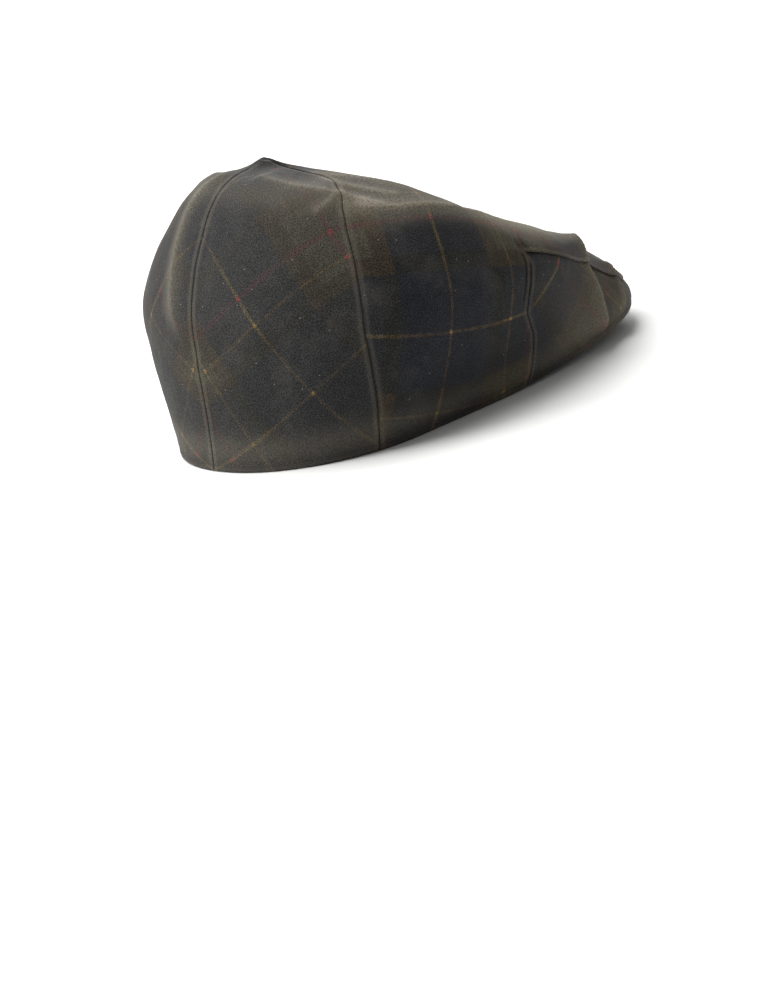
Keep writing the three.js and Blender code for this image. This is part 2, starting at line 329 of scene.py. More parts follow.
@dataclass(frozen=True)
class CrownNet:
    """The net of rows and columns that all panels share.

    A column's place counts 0 to 1 over the right rear panel, 1 to 2 over the right side, 2 to 4 over the
    peak cover, 4 to 5 over the left side and 5 to 6 over the left rear panel. The columns follow the seams
    and the rows follow the top panel's front edge.
    """

    crown: Crown = field(default_factory=Crown)
    rear_columns: int = 72
    side_columns: int = 72
    front_columns: int = 120
    low_rows: int = 56
    lap_rows: int = 12
    high_rows: int = 84
    tuft_rows: int = 2
    lap_level: float = 0.055
    edge_lift: float = 0.7
    edge_fade: float = 12.0
    lift_start: float = 0.1
    level_length: float = 150.0
    temples: tuple[int, int] = (2, 4)
    side_seam: Guide = Guide(
        ((0, 69.5), (0.2, 65.8), (0.35, 63.4), (0.5, 61.2), (0.8, 62), (0.87, 67.5), (0.93, 80), (1, 78))
    )
    temple_seam: Guide = Guide(
        (
            (0, 135.5),
            (0.1, 133),
            (0.17, 130.7),
            (0.24, 127.3),
            (0.31, 124.8),
            (0.45, 124.7),
            (0.56, 126.5),
            (1, 131),
        )
    )
    front_edge: Guide = Guide(
        (
            (0, 0.575),
            (0.13, 0.54),
            (0.25, 0.494),
            (0.42, 0.392),
            (0.53, 0.308),
            (0.6, 0.185),
            (0.67, 0.12),
            (0.78, 0.1),
            (1, 0.09),
        )
    )

    @cached_property
    def places(self) -> np.ndarray:
        """The place of each column, from 0 to 6. The last column lies on the first."""
        right = np.concatenate(
            [
                graded(self.rear_columns, True),
                1 + graded(self.side_columns, True),
                2 + graded(self.front_columns, False, 0.5),
            ]
        )
        return np.concatenate([right, [3.0], 6 - right[:0:-1], [6.0]])

    def column(self, place: int) -> int:
        """The column that runs along a whole place, such as a seam."""
        return int(np.argmin(np.abs(self.places - place)))

    @property
    def rows(self) -> int:
        """How many rows of cells the net has."""
        return self.low_rows + self.lap_rows + self.high_rows

    @property
    def shape(self) -> tuple[int, int]:
        """How many rows and columns of corners the net has."""
        return self.rows + 1, len(self.places)

    @cached_property
    def from_temple(self) -> np.ndarray:
        """How far each column is from the temple seam towards the centre front, 0 to 1."""
        return np.clip(1 - np.abs(self.places - 3), 0, 1)

    @cached_property
    def edge_level(self) -> np.ndarray:
        """The level of the top panel's front edge on each column."""
        return self.front_edge(self.from_temple)

    @cached_property
    def level(self) -> np.ndarray:
        """The level of each corner."""
        edge = self.edge_level[None, :]
        low = graded(self.low_rows, True)[:, None] * edge
        lap = edge + graded(self.lap_rows, False, 0.5)[:, None] * self.lap_level
        start = edge + self.lap_level
        high = start + (np.arange(self.high_rows + 1) / self.high_rows)[:, None] * (1 - start)
        return np.concatenate([low, lap, high])

    @cached_property
    def angle(self) -> np.ndarray:
        """The angle of each corner, from 0 to 360 degrees."""
        half = np.minimum(self.places, 6 - self.places)[None, :]
        side, temple = self.side_seam(self.level), self.temple_seam(self.level)
        rear = side * half
        flank = side + (temple - side) * (half - 1)
        front = temple + (180 - temple) * (half - 2)
        right = np.where(half <= 1, rear, np.where(half <= 2, flank, front))
        return np.where(self.places[None, :] <= 3, right, 360 - right)

    @cached_property
    def points(self) -> np.ndarray:
        """The calm surface at each corner."""
        return self.crown.surface(self.angle, self.level)

    @cached_property
    def normals(self) -> np.ndarray:
        """The outward direction at each corner. At the hem it is level, so that the hem stays flat."""
        surface = self.crown.surface
        wide = surface(self.angle + 0.5, self.level) - surface(self.angle - 0.5, self.level)
        high = np.minimum(self.level + 0.001, 1)
        tall = surface(self.angle, high) - surface(self.angle, np.maximum(high - 0.002, 0))
        normal = np.cross(wide, tall)
        normal[-1] = (0, 0, 1)
        normal /= np.linalg.norm(normal, axis=-1, keepdims=True)
        normal[..., 2] *= smooth(self.above_hem / 6)
        return normal / np.linalg.norm(normal, axis=-1, keepdims=True)

    @cached_property
    def above_hem(self) -> np.ndarray:
        """The length of cloth from the hem up to each corner."""
        steps = np.linalg.norm(np.diff(self.points, axis=0), axis=-1)
        return np.concatenate([np.zeros((1, steps.shape[1])), np.cumsum(steps, axis=0)])

    @cached_property
    def round_row(self) -> np.ndarray:
        """The length of cloth along each row from the centre back to each corner."""
        steps = np.linalg.norm(np.diff(self.points, axis=1), axis=-1)
        return np.concatenate([np.zeros((steps.shape[0], 1)), np.cumsum(steps, axis=1)], axis=1)

    def from_seam(self, place: int) -> np.ndarray:
        """The distance along the row from each corner to the seam at a whole place."""
        column = self.column(place)
        return np.abs(self.round_row - self.round_row[:, column : column + 1])

    @cached_property
    def above_edge(self) -> np.ndarray:
        """The length of cloth from the front edge up to each corner, negative below it."""
        return self.above_hem - self.above_hem[self.low_rows][None, :]

    @cached_property
    def opened(self) -> np.ndarray:
        """How far each column is past the start of the front edge's lap at the temple, 0 to 1."""
        return smooth(self.from_temple / self.lift_start)[None, :] * np.ones(self.shape)

    @property
    def lift(self) -> np.ndarray:
        """How far the top panel's front edge stands off the calm surface."""
        return self.edge_lift * self.opened

    @cached_property
    def near_edge(self) -> np.ndarray:
        """1 at the level of the front edge, fading to 0 away from it."""
        away = np.abs(self.edge_level[None, :] - self.level) * self.level_length
        return smooth(1 - away / self.edge_fade)

    def covers(self, panel: Panel) -> np.ndarray:
        """Which cells of the net a panel covers.

        Args:
            panel: the panel.

        Returns:
            True or False for each cell, with one row and column fewer than the corners.
        """
        middle = ((self.places[:-1] + self.places[1:]) / 2)[None, :]
        row = np.arange(self.rows)[:, None]
        first, last = panel.value
        inside = (middle > first) & (middle < last)
        in_front = (middle > 2) & (middle < 4)
        tuft = row >= self.rows - self.tuft_rows
        if panel is Panel.TOP:
            return (inside & (~in_front | (row >= self.low_rows))) | tuft
        if panel is Panel.COVER:
            return inside & (row < self.low_rows + self.lap_rows)
        return inside & ~tuft


@dataclass(frozen=True)
class Band:
    """An amount that is greatest at one distance, in millimetres, and fades out to both sides."""

    amount: float
    place: float
    width: float

    def at(self, distance: np.ndarray) -> np.ndarray:
        """The amount at each distance."""
        return self.amount * bell(distance - self.place, self.width)


@dataclass(frozen=True)
class Drape:
    """The folds, puckers and soft dents that all panels share, with pale wear, painted light and painted
    shade.

    Attributes:
        tuft: the small point where the seams meet.
        pucker_start: how far from the apex the puckers are full.
        hem_calm: how far above the hem the cloth lies calm.
        apex_painted_shade: painted shade round the apex, which darkens the top where it catches the light.
        top_light_and_wear: how pale upward faces get in front of the crown's middle: painted light, partly
            real chalk.
        rear_share: the share of that behind it.
        turn_start: the angle where the rear share starts to rise to the whole, over turn_span degrees.
        slope_start: how far upwards the cloth faces where the paling starts. It is full slope_span on.
        clear_of_apex: how far from the apex the paling starts.
        pale_patch_place: where a pale patch lies on each side of the lower peak cover, as an angle and a
            level.
        dents: the size and the depth of each kind of soft dent.
    """

    net: CrownNet
    folds: tuple[Fold, ...] = (
        Fold((-10, 0.96), (-14, 0.76), (-6, 0.38), 6.0, 2.6, False, crisp=0.6, ahead=1.3, chalk=0.5),
        Fold((-38, 0.93), (-50, 0.87), (-66, 0.8), 6.5, 2.6, False, crisp=0.5, chalk=0.4),
        Fold((20, 0.93), (42, 0.9), (66, 0.868), 4.5, 1.5, False, 0.8, 1.4, chalk=0.45, fade=0.12),
        Fold((48, 0.8), (58, 0.84), (66, 0.875), 3.6, 1.0, False, crisp=0.7, chalk=0.3, fade=0.15),
        # The creases down the peak cover, with painted shade on their sides towards the front.
        Fold((157, 0.56), (151, 0.33), (154.5, 0.01), 9.0, 3.8, True, 1.0, 0.45, 0.6, dark=0.8, fade=0.1),
        Fold((165, 0.24), (161, 0.15), (159, 0.04), 6, 2.6, crisp=1.0, ahead=0.6, chalk=0.5, dark=0.6),
        # The shoulder folds: their pale chalk is partly real wear and partly a painted highlight of the lit
        # top band.
        Fold((63, 0.84), (92, 0.757), (128, 0.757), 8, 2.4, crisp=1.0, chalk=0.8),
        Fold((122, 0.757), (140, 0.725), (170, 0.66), 9, 2.2, crisp=1.0, chalk=0.9),
        Fold((72, 0.93), (82, 0.86), (95, 0.8), 3.2, 0.9, crisp=0.7, chalk=0.35),
        Fold((67, 0.89), (72, 0.83), (84, 0.775), 2.8, 0.8, crisp=0.7, chalk=0.35),
        Fold((78, 0.95), (96, 0.89), (112, 0.83), 4.0, 0.8, crisp=0.6, chalk=0.3),
    )
    tuft: Band = Band(1.9, 0.0, 7.0)
    puckers: Band = Band(0.35, 0.0, 17.0)
    pucker_start: float = 9.0
    pucker_count: int = 7
    hem_calm: float = 9.0
    apex_painted_shade: Band = Band(0.8, 0.0, 25.0)
    top_light_and_wear: float = 0.38
    rear_share: float = 0.5
    turn_start: float = 60.0
    turn_span: float = 40.0
    slope_start: float = 0.56
    slope_span: float = 0.34
    clear_of_apex: float = 20.0
    pale_patch_place: tuple[float, float] = (146.0, 0.14)
    pale_patch: Band = Band(0.2, 0.0, 24.0)
    dents: tuple[tuple[float, float], ...] = ((34.0, 0.55), (13.0, 0.2), (6.0, 0.07))

    @cached_property
    def relief(self) -> np.ndarray:
        """The cloth's height over the calm surface, its pale wear with painted light, and its painted shade.
        """
        net = self.net
        points = net.points.reshape(-1, 3)
        around = net.angle.reshape(-1)
        angles = (around + 180) % 360 - 180
        height, wear_and_painted_light, painted_shade = sum(fold.relief(net.crown, points, angles) for fold in self.folds)
        from_apex = np.linalg.norm(points - np.array(net.crown.apex), axis=1)
        rays = np.cos(self.pucker_count * np.radians(around)) * smooth(from_apex / self.pucker_start)
        height += self.tuft.at(from_apex) + rays * self.puckers.at(from_apex)
        for size, depth in self.dents:
            height += depth * np.array([noise.noise(Vector(p / size)) for p in points])
        hem = np.broadcast_to(net.points[:1, :, 2], net.shape).reshape(-1)
        height *= smooth((points[:, 2] - hem) / self.hem_calm)
        # Painted shade round the apex, darkening the top where it catches the light.
        painted_shade += self.apex_painted_shade.at(from_apex)
        # Painted light on the faces that turn upwards, partly real chalk of the wax.
        wear_and_painted_light += self.top_light_and_chalk(angles, from_apex)
        # A pale patch at each side of the lower peak cover.
        for side in (1, -1):
            angle, level = self.pale_patch_place
            patch_centre = net.crown.surface(np.array([side * angle]), np.array([level]))
            wear_and_painted_light += self.pale_patch.at(np.linalg.norm(points - patch_centre, axis=1))
        return np.stack([height, wear_and_painted_light, painted_shade]).reshape(3, *net.shape)

    def top_light_and_chalk(self, angles: np.ndarray, from_apex: np.ndarray) -> np.ndarray:
        """How pale the cloth is made where it faces upwards: painted light from above, partly real chalk.

        Args:
            angles: the angle of each corner, from -180 to 180 degrees.
            from_apex: its distance from the apex.

        Returns:
            The wear of each corner.
        """
        upwards = self.net.normals[..., 2].reshape(-1)
        turned = smooth((np.abs(angles) - self.turn_start) / self.turn_span)
        share = self.rear_share + (1 - self.rear_share) * turned
        clear = smooth((from_apex - self.clear_of_apex) / self.clear_of_apex)
        return self.top_light_and_wear * share * smooth((upwards - self.slope_start) / self.slope_span) * clear

    @property
    def height(self) -> np.ndarray:
        """The height of the cloth over the calm surface at each corner."""
        return self.relief[0]

    @property
    def wear_and_painted_light(self) -> np.ndarray:
        """How pale each corner is: real wear, with painted light on fold crests and upward faces."""
        return self.relief[1]

    @property
    def painted_shade(self) -> np.ndarray:
        """How much painted shade darkens each corner."""
        return self.relief[2]


def corners_of(cells: np.ndarray) -> np.ndarray:
    """Finds which corners of a net touch any of the given cells.

    Args:
        cells: True or False for each cell.

    Returns:
        True or False for each corner.
    """
    rows, columns = cells.shape
    touched = np.zeros((rows + 1, columns + 1), bool)
    for down, across in CELL_STEPS:
        touched[down : rows + down, across : columns + across] |= cells
    return touched


@dataclass(frozen=True)
class Flattener:
    """Lays a curved piece of cloth out flat with little stretch, so that its check runs as on a cut panel."""

    rounds: int = 6

    def lay_out(self, points: np.ndarray, cells: np.ndarray, pole: bool) -> np.ndarray:
        """Finds the flat place of each corner.

        Args:
            points: corners on the cap, as rows, columns and x, y, z.
            cells: which cells of the net belong to the piece.
            pole: whether the corners of the last row all lie on one point.

        Returns:
            The flat places in millimetres, 0 for corners that are not of the piece.
        """
        number = np.arange(points.shape[0] * points.shape[1]).reshape(points.shape[:2])
        if pole:
            number[-1] = number[-1, 0]
        row, column = np.nonzero(cells)
        quads = np.stack([number[row + r, column + c] for r, c in CELL_STEPS], axis=1)
        used, compact = np.unique(quads, return_inverse=True)
        corners = points.reshape(-1, 3)[used]
        faces = [
            [quad[k] for k in range(4) if quad[k] != quad[k - 1]] for quad in compact.reshape(-1, 4).tolist()
        ]
        mesh = bpy.data.meshes.new("pattern")
        mesh.from_pydata((corners * MM).tolist(), [], faces)
        mesh.uv_layers.new(name="flat")
        piece = bpy.data.objects.new("pattern", mesh)
        bpy.context.scene.collection.objects.link(piece)
        bpy.context.view_layer.objects.active = piece
        piece.select_set(True)
        bpy.ops.object.mode_set(mode="EDIT")
        bpy.ops.mesh.select_all(action="SELECT")
        how = {"method": "MINIMUM_STRETCH", "correct_aspect": False, "no_flip": True}
        bpy.ops.uv.unwrap(iterations=self.rounds, **how)
        bpy.ops.object.mode_set(mode="OBJECT")
        places = self.read(mesh, len(used))
        bpy.data.objects.remove(piece)
        flat = np.zeros((number.size, 2))
        flat[used] = places
        return flat[number]

    @staticmethod
    def read(mesh: bpy.types.Mesh, count: int) -> np.ndarray:
        """Reads the flat places of a mesh's points, and scales them to the size of the cloth.

        Args:
            mesh: the mesh, in metres.
            count: how many points it has.

        Returns:
            The flat places in millimetres.
        """
        at = np.zeros(len(mesh.loops), int)
        mesh.loops.foreach_get("vertex_index", at)
        uv = np.zeros(len(mesh.loops) * 2)
        mesh.uv_layers["flat"].data.foreach_get("uv", uv)
        places = np.zeros((count, 2))
        places[at] = uv.reshape(-1, 2)
        ends = np.zeros(len(mesh.edges) * 2, int)
        mesh.edges.foreach_get("vertices", ends)
        one, other = ends.reshape(-1, 2).T
        spots = np.zeros(count * 3)
        mesh.vertices.foreach_get("co", spots)
        spots = spots.reshape(-1, 3)
        real = np.linalg.norm(spots[one] - spots[other], axis=1).sum()
        drawn = np.linalg.norm(places[one] - places[other], axis=1).sum()
        return places * real / drawn / MM


FLAT = {"noise_dimensions": "2D"}
COLOURS = {"data_type": "RGBA"}
TIMES = {"operation": "MULTIPLY"}
NOISE = "ShaderNodeTexNoise"
RANGE = "ShaderNodeMapRange"
MATH = "ShaderNodeMath"
VECTOR_MATH = "ShaderNodeVectorMath"
MIX = "ShaderNodeMix"


def add_node(
    tree: bpy.types.NodeTree, kind: str, settings: dict | None = None, **links: object
) -> bpy.types.Node:
    """Adds a node with its settings, values and links.

    Args:
        tree: the node tree.
        kind: the node's class name.
        settings: the node's own properties.
        **links: an input's name, with _ for a space, or its number after a leading i, and what it gets: a
            socket to link, a node whose first output is linked, or a value to set.

    Returns:
        The new node.
    """
    node = tree.nodes.new(kind)
    for name, value in (settings or {}).items():
        setattr(node, name, value)
    for name, value in links.items():
        numbered = name[0] == "i" and name[1:].isdigit()
        socket = node.inputs[int(name[1:])] if numbered else node.inputs[name.replace("_", " ")]
        source = value.outputs[0] if isinstance(value, bpy.types.Node) else value
        if isinstance(source, bpy.types.NodeSocket):
            tree.links.new(source, socket)
        else:
            socket.default_value = source
    return node


def blank_material(name: str) -> bpy.types.Material:
    """A new material with an empty node tree."""
    made = bpy.data.materials.new(name)
    made.use_nodes = True
    made.node_tree.nodes.clear()
    return made


def shaded(
    tree: bpy.types.NodeTree,
    colour: object,
    by: object,
    factors: tuple[float, float],
    span: tuple[float, float] = (0.25, 0.75),
) -> bpy.types.Node:
    """Darkens and lightens a colour.

    Args:
        tree: the material's node tree.
        colour: the colour, as a socket, a node or a value.
        by: the socket or node that the shade follows.
        factors: what the colour is multiplied by at both ends of the span.
        span: the values of by at both ends.

    Returns:
        The node that gives the colour.
    """
    low, high = factors
    factor = add_node(tree, RANGE, Value=by, From_Min=span[0], From_Max=span[1], To_Min=low, To_Max=high)
    return add_node(tree, VECTOR_MATH, {"operation": "SCALE"}, i0=colour, Scale=factor)


@dataclass(frozen=True)
class Stripe:
    """One stripe of the check, from one millimetre to the next across the cloth, in one thread colour."""

    start_mm: float
    end_mm: float
    colour: str


@dataclass(frozen=True)
class Check:
    """A plain check, woven with the same run of stripes in the warp and in the weft."""

    repeat_mm: float = 124.0
    soft_edge_mm: float = 0.9
    stripes: tuple[Stripe, ...] = (
        Stripe(0, 30, "222327"),
        Stripe(30, 31.5, "84693b"),
        Stripe(31.5, 62, "222327"),
        Stripe(62, 72, "2f2922"),
        Stripe(72, 90, "37342b"),
        Stripe(90, 93, "632a2b"),
        Stripe(93, 108, "37342b"),
        Stripe(108, 109.5, "84693b"),
        Stripe(109.5, 115, "37342b"),
        Stripe(115, 124, "2f2922"),
    )

    def ramp(self, tree: bpy.types.NodeTree, across: bpy.types.NodeSocket) -> bpy.types.Node:
        """Gives the thread colour at a distance across the cloth.

        Args:
            tree: the material's node tree.
            across: the distance in millimetres.

        Returns:
            The node that gives the colour.
        """
        turns = add_node(tree, MATH, {"operation": "DIVIDE"}, i0=across, i1=self.repeat_mm)
        share = add_node(tree, MATH, {"operation": "FRACT"}, i0=turns)
        ramp = add_node(tree, "ShaderNodeValToRGB", Fac=share)
        elements = ramp.color_ramp.elements
        while len(elements) > 1:
            elements.remove(elements[-1])
        for number, stripe in enumerate(self.stripes):
            ends = (stripe.start_mm + self.soft_edge_mm / 2, stripe.end_mm - self.soft_edge_mm / 2)
            for end, place in enumerate(ends):
                first = number == 0 and end == 0
                element = elements[0] if first else elements.new(place / self.repeat_mm)
                element.position = place / self.repeat_mm
                element.color = linear(stripe.colour)
        return ramp


@dataclass(frozen=True)
class WaxedCheck:
    """Waxed cotton, a close twill woven in a check and steeped in wax.

    The wax gives the eye a matt face with a broad soft sheen, cloudy darker and lighter patches, and pale
    chalk where folds rub. The chalk mark also carries painted light on fold crests and upward faces, and a
    painted shade mark darkens seams, grooves, the apex and the front sides of creases. Lengths are in
    millimetres, and a pair named shade is the least and the most that the colour is multiplied by.

    Attributes:
        shift_mm: where the check starts.
        mirrored: whether the cloth is turned over, so that the check meets its twin's in a V.
        haze: how far a film of old wax evens out the colours.
        twill_mm: the twill's spacing. The real one is about 0.5, too fine to show, so it is drawn coarser.
        twill_mix: the least and the most share of the weft on the face.
        hidden: how far the wax hides a stripe where it crosses the ground. It shows where stripes cross.
        rub: how the chalk is broken up, as a factor in its gaps and on its grains.
        bloom: the most chalk in the cloudy patches.
        lint_chosen: the share of the cells of lint_mm that hold no speck.
        reliefs: how high the twill, the slubs in its threads and the crumples of the cloth stand.
    """

    name: str
    grain_deg: float
    shift_mm: tuple[float, float]
    mirrored: bool = False
    haze: float = 0.0
    haze_colour: str = "34332f"
    check: Check = Check()
    twill_mm: float = 1.5
    twill_mix: tuple[float, float] = (0.42, 0.58)
    hidden_mm: float = 7.0
    hidden: tuple[float, float] = (0.6, 0.92)
    cloud_mm: float = 26.0
    cloud_shade: tuple[float, float] = (0.86, 1.15)
    mottle_mm: float = 4.5
    mottle_shade: tuple[float, float] = (0.88, 1.13)
    fleck_mm: float = 0.75
    fleck_shade: tuple[float, float] = (0.22, 1.95)
    chalk_colour: str = "7d7668"
    rub_mm: float = 1.2
    rub: tuple[float, float] = (0.5, 1.3)
    bloom: float = 0.07
    # How deep the painted shade mark darkens the colour, from none to its whole.
    painted_darkening_shade: tuple[float, float] = (1.0, 0.25)
    lint_colour: str = "a9a598"
    lint_mm: float = 14.0
    lint_edges: tuple[float, float] = (0.03, 0.012)
    lint_chosen: float = 0.78
    lint_cover: float = 0.4
    crumple_mm: float = 5.0
    reliefs: tuple[float, float, float] = (0.02, 0.16, 0.28)
    roughness: tuple[float, float] = (0.5, 0.68)

    def material(self) -> bpy.types.Material:
        """Builds the material."""
        made = blank_material(self.name)
        tree = made.node_tree
        cloth = self.cloth_place(tree)
        colour, twill = self.woven(tree, cloth)
        clouds = add_node(tree, NOISE, FLAT, Vector=cloth, Scale=1 / self.cloud_mm, Detail=4, Roughness=0.6)
        mottle = add_node(tree, NOISE, FLAT, Vector=cloth, Scale=1 / self.mottle_mm, Detail=2, Roughness=0.6)
        flecks = add_node(tree, NOISE, FLAT, Vector=cloth, Scale=1 / self.fleck_mm, Detail=1, Roughness=0.6)
        hazy = add_node(tree, MIX, COLOURS, Factor=self.haze, i6=colour, i7=linear(self.haze_colour))
        colour = shaded(tree, hazy.outputs[2], clouds, self.cloud_shade)
        colour = shaded(tree, colour, mottle, self.mottle_shade)
        colour = shaded(tree, colour, flecks, self.fleck_shade)
        with_wear_and_light = self.pale_wear_and_light(tree, cloth, colour, clouds)
        # Painted shade: darkens seams, grooves, the lip's underside, the apex and the far sides of creases.
        painted_shade = add_node(tree, "ShaderNodeAttribute", {"attribute_name": "painted_shade"})
        colour = shaded(tree, with_wear_and_light, painted_shade.outputs["Fac"], self.painted_darkening_shade, (0.0, 1.0))
        matt, mattest = self.roughness
        rough = add_node(tree, RANGE, Value=clouds, From_Min=0.3, From_Max=0.7, To_Min=matt, To_Max=mattest)
        shader = add_node(
            tree,
            "ShaderNodeBsdfPrincipled",
            Base_Color=self.linted(tree, cloth, colour),
            Roughness=rough,
            Specular_IOR_Level=0.06,
            Sheen_Weight=0.05,
            Sheen_Roughness=0.4,
            Sheen_Tint=linear("e4ddd0"),
            Normal=self.bump(tree, cloth, twill, flecks),
        )
        add_node(tree, "ShaderNodeOutputMaterial", Surface=shader)
        return made

    def cloth_place(self, tree: bpy.types.NodeTree) -> bpy.types.Node:
        """The place on the flat cloth in millimetres, along its warp and weft."""
        return add_node(
            tree,
            "ShaderNodeMapping",
            Vector=add_node(tree, "ShaderNodeUVMap", {"uv_map": "cloth"}),
            Scale=((-1 if self.mirrored else 1) / MM, 1 / MM, 1),
            Rotation=(0, 0, math.radians(self.grain_deg)),
            Location=(*self.shift_mm, 0),
        )

    def woven(
        self, tree: bpy.types.NodeTree, cloth: bpy.types.Node
    ) -> tuple[bpy.types.NodeSocket, bpy.types.Node]:
        """The check's colours, with the twill that mixes warp and weft.

        Args:
            tree: the material's node tree.
            cloth: the place on the cloth.

        Returns:
            The colour, and the height of the twill from 0 to 1.
        """
        parts = add_node(tree, "ShaderNodeSeparateXYZ", Vector=cloth)
        warp, weft = (self.check.ramp(tree, parts.outputs[axis]) for axis in (0, 1))
        both = add_node(tree, MATH, {"operation": "ADD"}, i0=parts.outputs[0], i1=parts.outputs[1])
        phase = add_node(tree, MATH, TIMES, i0=both, i1=2 * math.pi / (self.twill_mm * math.sqrt(2)))
        wave = add_node(tree, MATH, {"operation": "SINE"}, i0=phase)
        least, most = self.twill_mix
        over = add_node(tree, RANGE, Value=wave, From_Min=-1, From_Max=1, To_Min=least, To_Max=most)
        mixed = add_node(tree, MIX, COLOURS, Factor=over, i6=warp, i7=weft)
        darker = add_node(tree, VECTOR_MATH, {"operation": "MINIMUM"}, i0=warp, i1=weft)
        film = add_node(tree, NOISE, FLAT, Vector=cloth, Scale=1 / self.hidden_mm, Detail=3, Roughness=0.7)
        least, most = self.hidden
        hidden = add_node(tree, RANGE, Value=film, From_Min=0.3, From_Max=0.7, To_Min=least, To_Max=most)
        waxed = add_node(tree, MIX, COLOURS, Factor=hidden, i6=mixed.outputs[2], i7=darker)
        return waxed.outputs[2], add_node(tree, RANGE, Value=wave, From_Min=-1, From_Max=1)

    def pale_wear_and_light(
        self, tree: bpy.types.NodeTree, cloth: bpy.types.Node, colour: bpy.types.Node, clouds: bpy.types.Node
    ) -> bpy.types.NodeSocket:
        """Adds pale wax chalk along folds and edges, and painted light on crests and upward faces, in grains.

        Args:
            tree: the material's node tree.
            cloth: the place on the cloth.
            colour: the colour below the chalk.
            clouds: the noise of the cloudy patches.

        Returns:
            The colour with the chalk.
        """
        # The pale mark: real wear of the wax, with painted light on fold crests and upward faces.
        wear_and_painted_light = add_node(tree, "ShaderNodeAttribute", {"attribute_name": "wear_and_painted_light"})
        grains = add_node(tree, NOISE, FLAT, Vector=cloth, Scale=1 / self.rub_mm, Detail=2, Roughness=0.7)
        least, most = self.rub
        gate = add_node(tree, RANGE, Value=grains, From_Min=0.3, From_Max=0.7, To_Min=least, To_Max=most)
        bloom = add_node(tree, RANGE, Value=clouds, From_Min=0.5, From_Max=0.8, To_Min=0.0, To_Max=self.bloom)
        clamped = {"operation": "MULTIPLY_ADD", "use_clamp": True}
        total = add_node(tree, MATH, clamped, i0=wear_and_painted_light.outputs["Fac"], i1=gate, i2=bloom)
        return add_node(tree, MIX, COLOURS, Factor=total, i6=colour, i7=linear(self.chalk_colour)).outputs[2]

    def linted(
        self, tree: bpy.types.NodeTree, cloth: bpy.types.Node, colour: bpy.types.Node
    ) -> bpy.types.NodeSocket:
        """Adds a few pale specks of lint, about 0.5 mm across and several centimetres apart.

        Args:
            tree: the material's node tree.
            cloth: the place on the cloth.
            colour: the colour below the lint.

        Returns:
            The colour with the lint.
        """
        cells = add_node(
            tree,
            "ShaderNodeTexVoronoi",
            {"voronoi_dimensions": "2D", "feature": "F1"},
            Vector=cloth,
            Scale=1 / self.lint_mm,
            Randomness=1.0,
        )
        outer, inner = self.lint_edges
        near = cells.outputs["Distance"]
        speck = add_node(tree, RANGE, Value=near, From_Min=outer, From_Max=inner, To_Max=self.lint_cover)
        chance = add_node(tree, "ShaderNodeSeparateXYZ", Vector=cells.outputs["Color"])
        chosen = add_node(tree, MATH, {"operation": "GREATER_THAN"}, i0=chance, i1=self.lint_chosen)
        amount = add_node(tree, MATH, TIMES, i0=speck, i1=chosen)
        return add_node(tree, MIX, COLOURS, Factor=amount, i6=colour, i7=linear(self.lint_colour)).outputs[2]

    def bump(
        self, tree: bpy.types.NodeTree, cloth: bpy.types.Node, twill: bpy.types.Node, flecks: bpy.types.Node
    ) -> bpy.types.Node:
        """The relief of the twill, the slubs in its threads and the fine crumples of waxed cloth.

        Args:
            tree: the material's node tree.
            cloth: the place on the cloth.
            twill: the height of the twill, from 0 to 1.
            flecks: fine noise.

        Returns:
            The node that gives the normal.
        """
        crumples = add_node(
            tree, NOISE, FLAT, Vector=cloth, Scale=1 / self.crumple_mm, Detail=3, Roughness=0.55
        )
        total: object = 0.0
        for wave, rise in zip((twill, flecks, crumples), self.reliefs):
            total = add_node(tree, MATH, {"operation": "MULTIPLY_ADD"}, i0=wave, i1=rise, i2=total)
        return add_node(tree, "ShaderNodeBump", Height=total, Strength=0.9, Distance=MM)


@dataclass(frozen=True)
class PlainCloth:
    """Plain dark cotton, closely woven and matt, as on the inside of the cap and below the peak."""

    name: str
    colour: str
    roughness: float = 0.85
    weave_mm: float = 1.2
    weave_rise_mm: float = 0.06
    cloud_mm: float = 9.0
    shade: tuple[float, float] = (0.72, 1.3)

    def material(self) -> bpy.types.Material:
        """Builds the material."""
        made = blank_material(self.name)
        tree = made.node_tree
        place = add_node(tree, "ShaderNodeUVMap", {"uv_map": "cloth"})
        cloth = add_node(tree, "ShaderNodeMapping", Vector=place, Scale=(1 / MM, 1 / MM, 1))
        clouds = add_node(tree, NOISE, FLAT, Vector=cloth, Scale=1 / self.cloud_mm, Detail=5)
        parts = add_node(tree, "ShaderNodeSeparateXYZ", Vector=cloth)
        waves = []
        for axis in (0, 1):
            phase = add_node(tree, MATH, TIMES, i0=parts.outputs[axis], i1=2 * math.pi / self.weave_mm)
            waves.append(add_node(tree, MATH, {"operation": "SINE"}, i0=phase))
        weave = add_node(tree, MATH, TIMES, i0=waves[0], i1=waves[1])
        rise = self.weave_rise_mm * MM
        shader = add_node(
            tree,
            "ShaderNodeBsdfPrincipled",
            Base_Color=shaded(tree, linear(self.colour)[:3], clouds, self.shade, (0.3, 0.7)),
            Roughness=self.roughness,
            IOR=1.46,
            Sheen_Weight=0.25,
            Sheen_Roughness=0.5,
            Normal=add_node(tree, "ShaderNodeBump", Height=weave, Strength=0.5, Distance=rise),
        )
        add_node(tree, "ShaderNodeOutputMaterial", Surface=shader)
        return made


